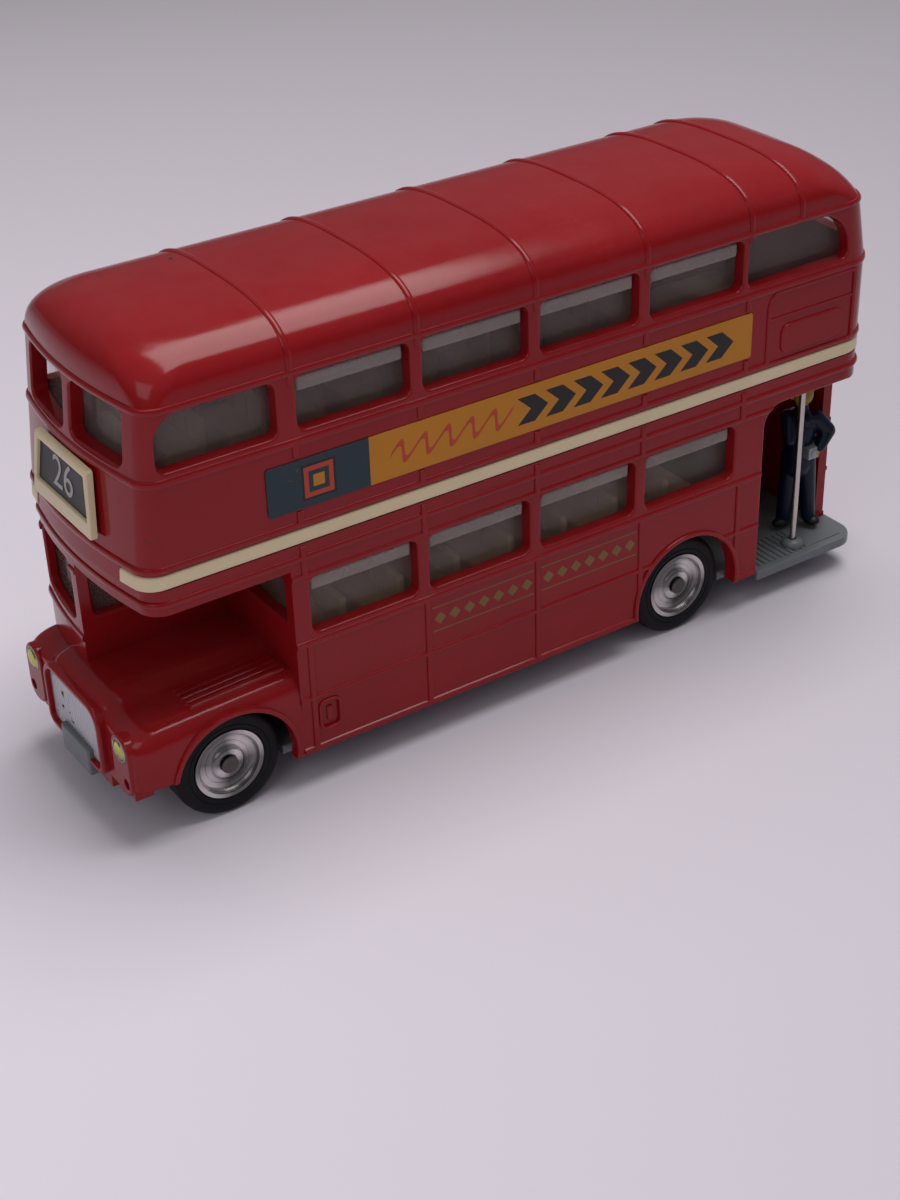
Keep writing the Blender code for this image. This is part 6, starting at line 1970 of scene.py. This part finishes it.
@dataclass
class Conductor(Figure):
    """The conductor who stands on the platform with a ticket machine."""

    uniform: Forms = (
        ((0, 0, 15.3), (2.25, 2.3, 3.9)),
        ((-0.1, 0, 10.2), (0, 0, 13.6), (2.2, 1.9)),
        ((-0.1, 0, 17.6), (1.9, 2.3, 1.2)),
        ((-1.4, 0.9, 1.2), (-0.7, 0.8, 11.4), (1.05, 1.4)),
        ((1.9, -0.9, 1.2), (0.8, -0.8, 11.4), (1.05, 1.4)),
        ((1.5, -1.4, 17.6), (3.2, -2.3, 15.3), (1.2, 1.15)),
        ((3.2, -2.3, 15.3), (1.3, -2.9, 13.5), (1.1, 0.8)),
        ((-1.5, 1.0, 17.6), (-2.5, -0.6, 14.9), (1.15, 0.95)),
        ((0, 0, 18.3), (0, -0.1, 19.2), (1.15, 0.95)),
    )
    head: Forms = (
        ((0, -0.2, 21.2), (1.5, 1.35, 1.8)),
        ((-0.1, -1.35, 21.0), (0.28, 0.3, 0.42)),
        ((1.25, -0.1, 21.1), (0.22, 0.3, 0.42)),
        ((-1.25, -0.1, 21.1), (0.22, 0.3, 0.42)),
        ((0, 0, 18.8), (0, -0.1, 20.2), (0.85, 0.8)),
    )
    cap: Forms = (
        ((0, -0.25, 23.1), (1.65, 1.6, 0.62)),
        ((0, -0.2, 22.5), (1.4, 1.32, 0.5)),
        ((0, -1.35, 22.3), (0.95, 0.75, 0.2)),
    )
    hands: Forms = (((0.7, -2.9, 12.9), (0.6, 0.5, 0.5)), ((-2.35, -0.8, 14.6), (0.5, 0.6, 0.5)))
    shoes: Forms = (
        ((-1.8, 0.7, 0.75), (1.6, 0.95, 0.75)),
        ((2.2, -1.3, 0.75), (1.15, 1.45, 0.75)),
    )
    machine_box: tuple[Point, Point] = ((-0.9, -3.1, 12.0), (1.1, -1.5, 13.8))
    drum_place: Point = (0.1, -3.1, 12.9)
    drum: Flats = ((0.0, -0.1), (0.6, -0.1), (0.6, 0.1), (0.5, 0.16), (0.0, 0.16))

    def machine(self) -> BMesh:
        """Build the ticket machine with its round drum."""
        bm = bmesh.new()
        low, high = (tuple(self.at(*corner)) for corner in self.machine_box)
        block(bm, low, high, 0.18, 3)
        turn = Matrix.Translation(self.at(*self.drum_place)) @ Matrix.Rotation(math.pi / 2, 4, "X")
        lathe(bm, self.drum, turn, 32, closed=False)
        return bm

    def dress(self) -> None:
        """Build the conductor's pieces and finish them."""
        parts = (
            ("uniform", NAVY, self.uniform),
            ("head", MUSTARD, self.head),
            ("cap", MUSTARD, self.cap),
            ("hands", MUSTARD, self.hands),
            ("shoes", BLACK_INK, self.shoes),
        )
        self.finish("conductor", parts)
        Piece("conductor_machine", "figure_plastic", MACHINE).make(self.machine())


@dataclass
class Driver(Figure):
    """The driver who sits in the cab with both hands forward."""

    coat: Forms = (
        ((0.2, 0, 0.6), (0, 0, 6.4), (2.2, 1.8)),
        ((0, 0, 6.5), (1.6, 2.75, 1.4)),
        ((-0.2, -2.1, 6.4), (-3.6, -1.5, 4.4), (0.8, 0.6)),
        ((-0.2, 2.1, 6.4), (-3.6, 1.5, 4.4), (0.8, 0.6)),
    )
    head: Forms = (
        ((-0.1, 0, 9.4), (1.25, 1.2, 1.7)),
        ((-1.3, 0, 9.2), (0.3, 0.28, 0.4)),
        ((0, 0, 7.2), (0, 0, 8.6), (0.8, 0.75)),
        ((-3.9, -1.5, 4.2), (0.55, 0.5, 0.45)),
        ((-3.9, 1.5, 4.2), (0.55, 0.5, 0.45)),
    )
    cap: Forms = (((-0.2, 0, 10.95), (1.65, 1.5, 0.55)), ((-1.4, 0, 10.5), (0.7, 0.9, 0.2)))

    def dress(self) -> None:
        """Build the driver's pieces and finish them."""
        self.finish("driver", (("coat", NAVY, self.coat), ("head", SKIN, self.head), ("cap", NAVY, self.cap)))


# Studio


@dataclass
class Studio:
    """Pale floor with painted light and shade, soft lights and the camera."""

    camera_place: Point = (-128.0, -192.7, 149.3)
    forward: Point = (0.4653, 0.7132, -0.5242)
    right: Point = (0.828, -0.560, -0.027)
    lens: float = 60.27
    floor_size: float = 3.0
    floor_colour: Colour = (0.52, 0.49, 0.545)
    # Painted light and shade on the floor: paler to the left, darker far away, pale again towards the edge.
    painted_left_light: Colour = (0.86, 0.81, 0.89)
    painted_far_shade: Colour = (0.4, 0.37, 0.4)
    painted_edge_light: Colour = (0.94, 0.9, 0.94)
    beside: Flat = (-0.12, 0.16)
    away: Flat = (-0.08, 0.5)
    reach: Flat = (0.6, 1.3)
    room_colour: Colour = (0.68, 0.64, 0.69)
    low_glow: Colour = (0.2, 0.19, 0.21)
    high_glow: Colour = (0.8, 0.78, 0.84)
    glow_strength: float = 0.42
    target: Point = (0.0, 0.0, 0.03)

    def floor(self) -> None:
        """Build the floor with a very fine grain, with painted light to the left, painted shade far away and
        painted light again at its outer edge.
        """
        bm = bmesh.new()
        bmesh.ops.create_grid(bm, x_segments=4, y_segments=4, size=self.floor_size)
        made = solid(bm, "floor")
        paper = Finish("floor_paper", self.floor_colour, specular=0.15)
        material, graph, node = paper.shader()
        split = graph.split(graph.place())
        x, y = split["X"], split["Y"]
        beside = graph.minus(graph.times(x, 0.83), graph.times(y, 0.56))
        away = graph.plus(graph.times(x, 0.55), y)
        colour = graph.mix(graph.noise(Scale=400.0, Detail=4.0), paper.toned(0.985), self.floor_colour)
        # Painted light to the left, painted shade far away and painted light at the outer edge, standing in
        # for the lamps' falloff.
        colour = graph.mix(graph.ramp(beside, *self.beside), self.painted_left_light, colour)
        colour = graph.mix(graph.ramp(away, *self.away), colour, self.painted_far_shade)
        colour = graph.mix(graph.ramp(graph.size(x, y), *self.reach), colour, self.painted_edge_light)
        graph.link(colour, node.inputs["Base Color"])
        node.inputs["Roughness"].default_value = 0.85
        made.data.materials.append(material)

    def world(self) -> None:
        """Light the room evenly, brighter overhead."""
        made = bpy.data.worlds.new("room")
        made.use_nodes = True
        graph = Graph(made.node_tree)
        back = made.node_tree.nodes["Background"]
        split = graph.split(graph.add("ShaderNodeTexCoord").outputs["Generated"])
        glow = graph.mix(graph.ramp(split["Z"], 0.0, 0.9), self.low_glow, self.high_glow)
        seen = graph.add("ShaderNodeLightPath").outputs["Is Camera Ray"]
        graph.link(graph.mix(seen, glow, self.room_colour), back.inputs["Color"])
        back.inputs["Strength"].default_value = self.glow_strength
        bpy.context.scene.world = made

    def lamp(self, name: str, place: Point, size: Flat, power: float, colour: Colour) -> None:
        """Add one area lamp that looks at the bus."""
        data = bpy.data.lights.new(name, "AREA")
        data.shape, data.energy, data.color = "RECTANGLE", power, colour
        data.size, data.size_y = size
        made = placed(name, data)
        made.location = place
        made.rotation_euler = (Vector(self.target) - Vector(place)).to_track_quat("-Z", "Y").to_euler()

    def camera(self) -> None:
        """Place the camera at the view that the shape was measured from."""
        data = bpy.data.cameras.new("camera")
        data.sensor_fit = "VERTICAL"
        data.sensor_height = 36.0
        data.lens = self.lens
        data.clip_start = 0.01
        made = placed("camera", data)
        forward, right = Vector(self.forward).normalized(), Vector(self.right).normalized()
        up = right.cross(forward).normalized()
        turn = Matrix((forward.cross(up), up, -forward)).transposed().to_4x4()
        made.matrix_world = Matrix.Translation(Vector(self.camera_place) * MM) @ turn
        bpy.context.scene.camera = made

    def dress(self) -> None:
        """Set the whole studio."""
        self.floor()
        self.world()
        self.lamp("overhead", (0.15, 0.0, 0.66), (0.5, 0.4), 3.3, (1.0, 0.98, 0.97))
        self.lamp("left_fill", (-0.5, -0.3, 0.42), (0.35, 0.35), 0.55, (0.97, 0.97, 1.0))
        self.camera()
        bpy.context.scene.view_settings.view_transform = "Standard"


def main() -> None:
    """Build every piece in order and set the studio."""
    logging.basicConfig(level=logging.INFO, format="%(message)s")
    for assembly in (LowerShell, UpperShell, Mouldings, Chassis):
        assembly().dress()
    for end, x in (("front", BUS.front_axle_x), ("rear", BUS.rear_axle_x)):
        for side, name in SIDE_NAMES:
            Wheel(f"{end}_{name}", BodyName(f"{end}_{name}_wheel"), x, side).dress()
    Lamps().dress()
    Labels().dress()
    Conductor((51.3, -9.1, 5.35), 23.6 / 24).dress()
    Driver((-42.5, 7.6, BUS.cab_floor_z + 0.2), 11.8 / 12, 0.18).dress()
    Studio().dress()


if __name__ == "__main__":
    main()
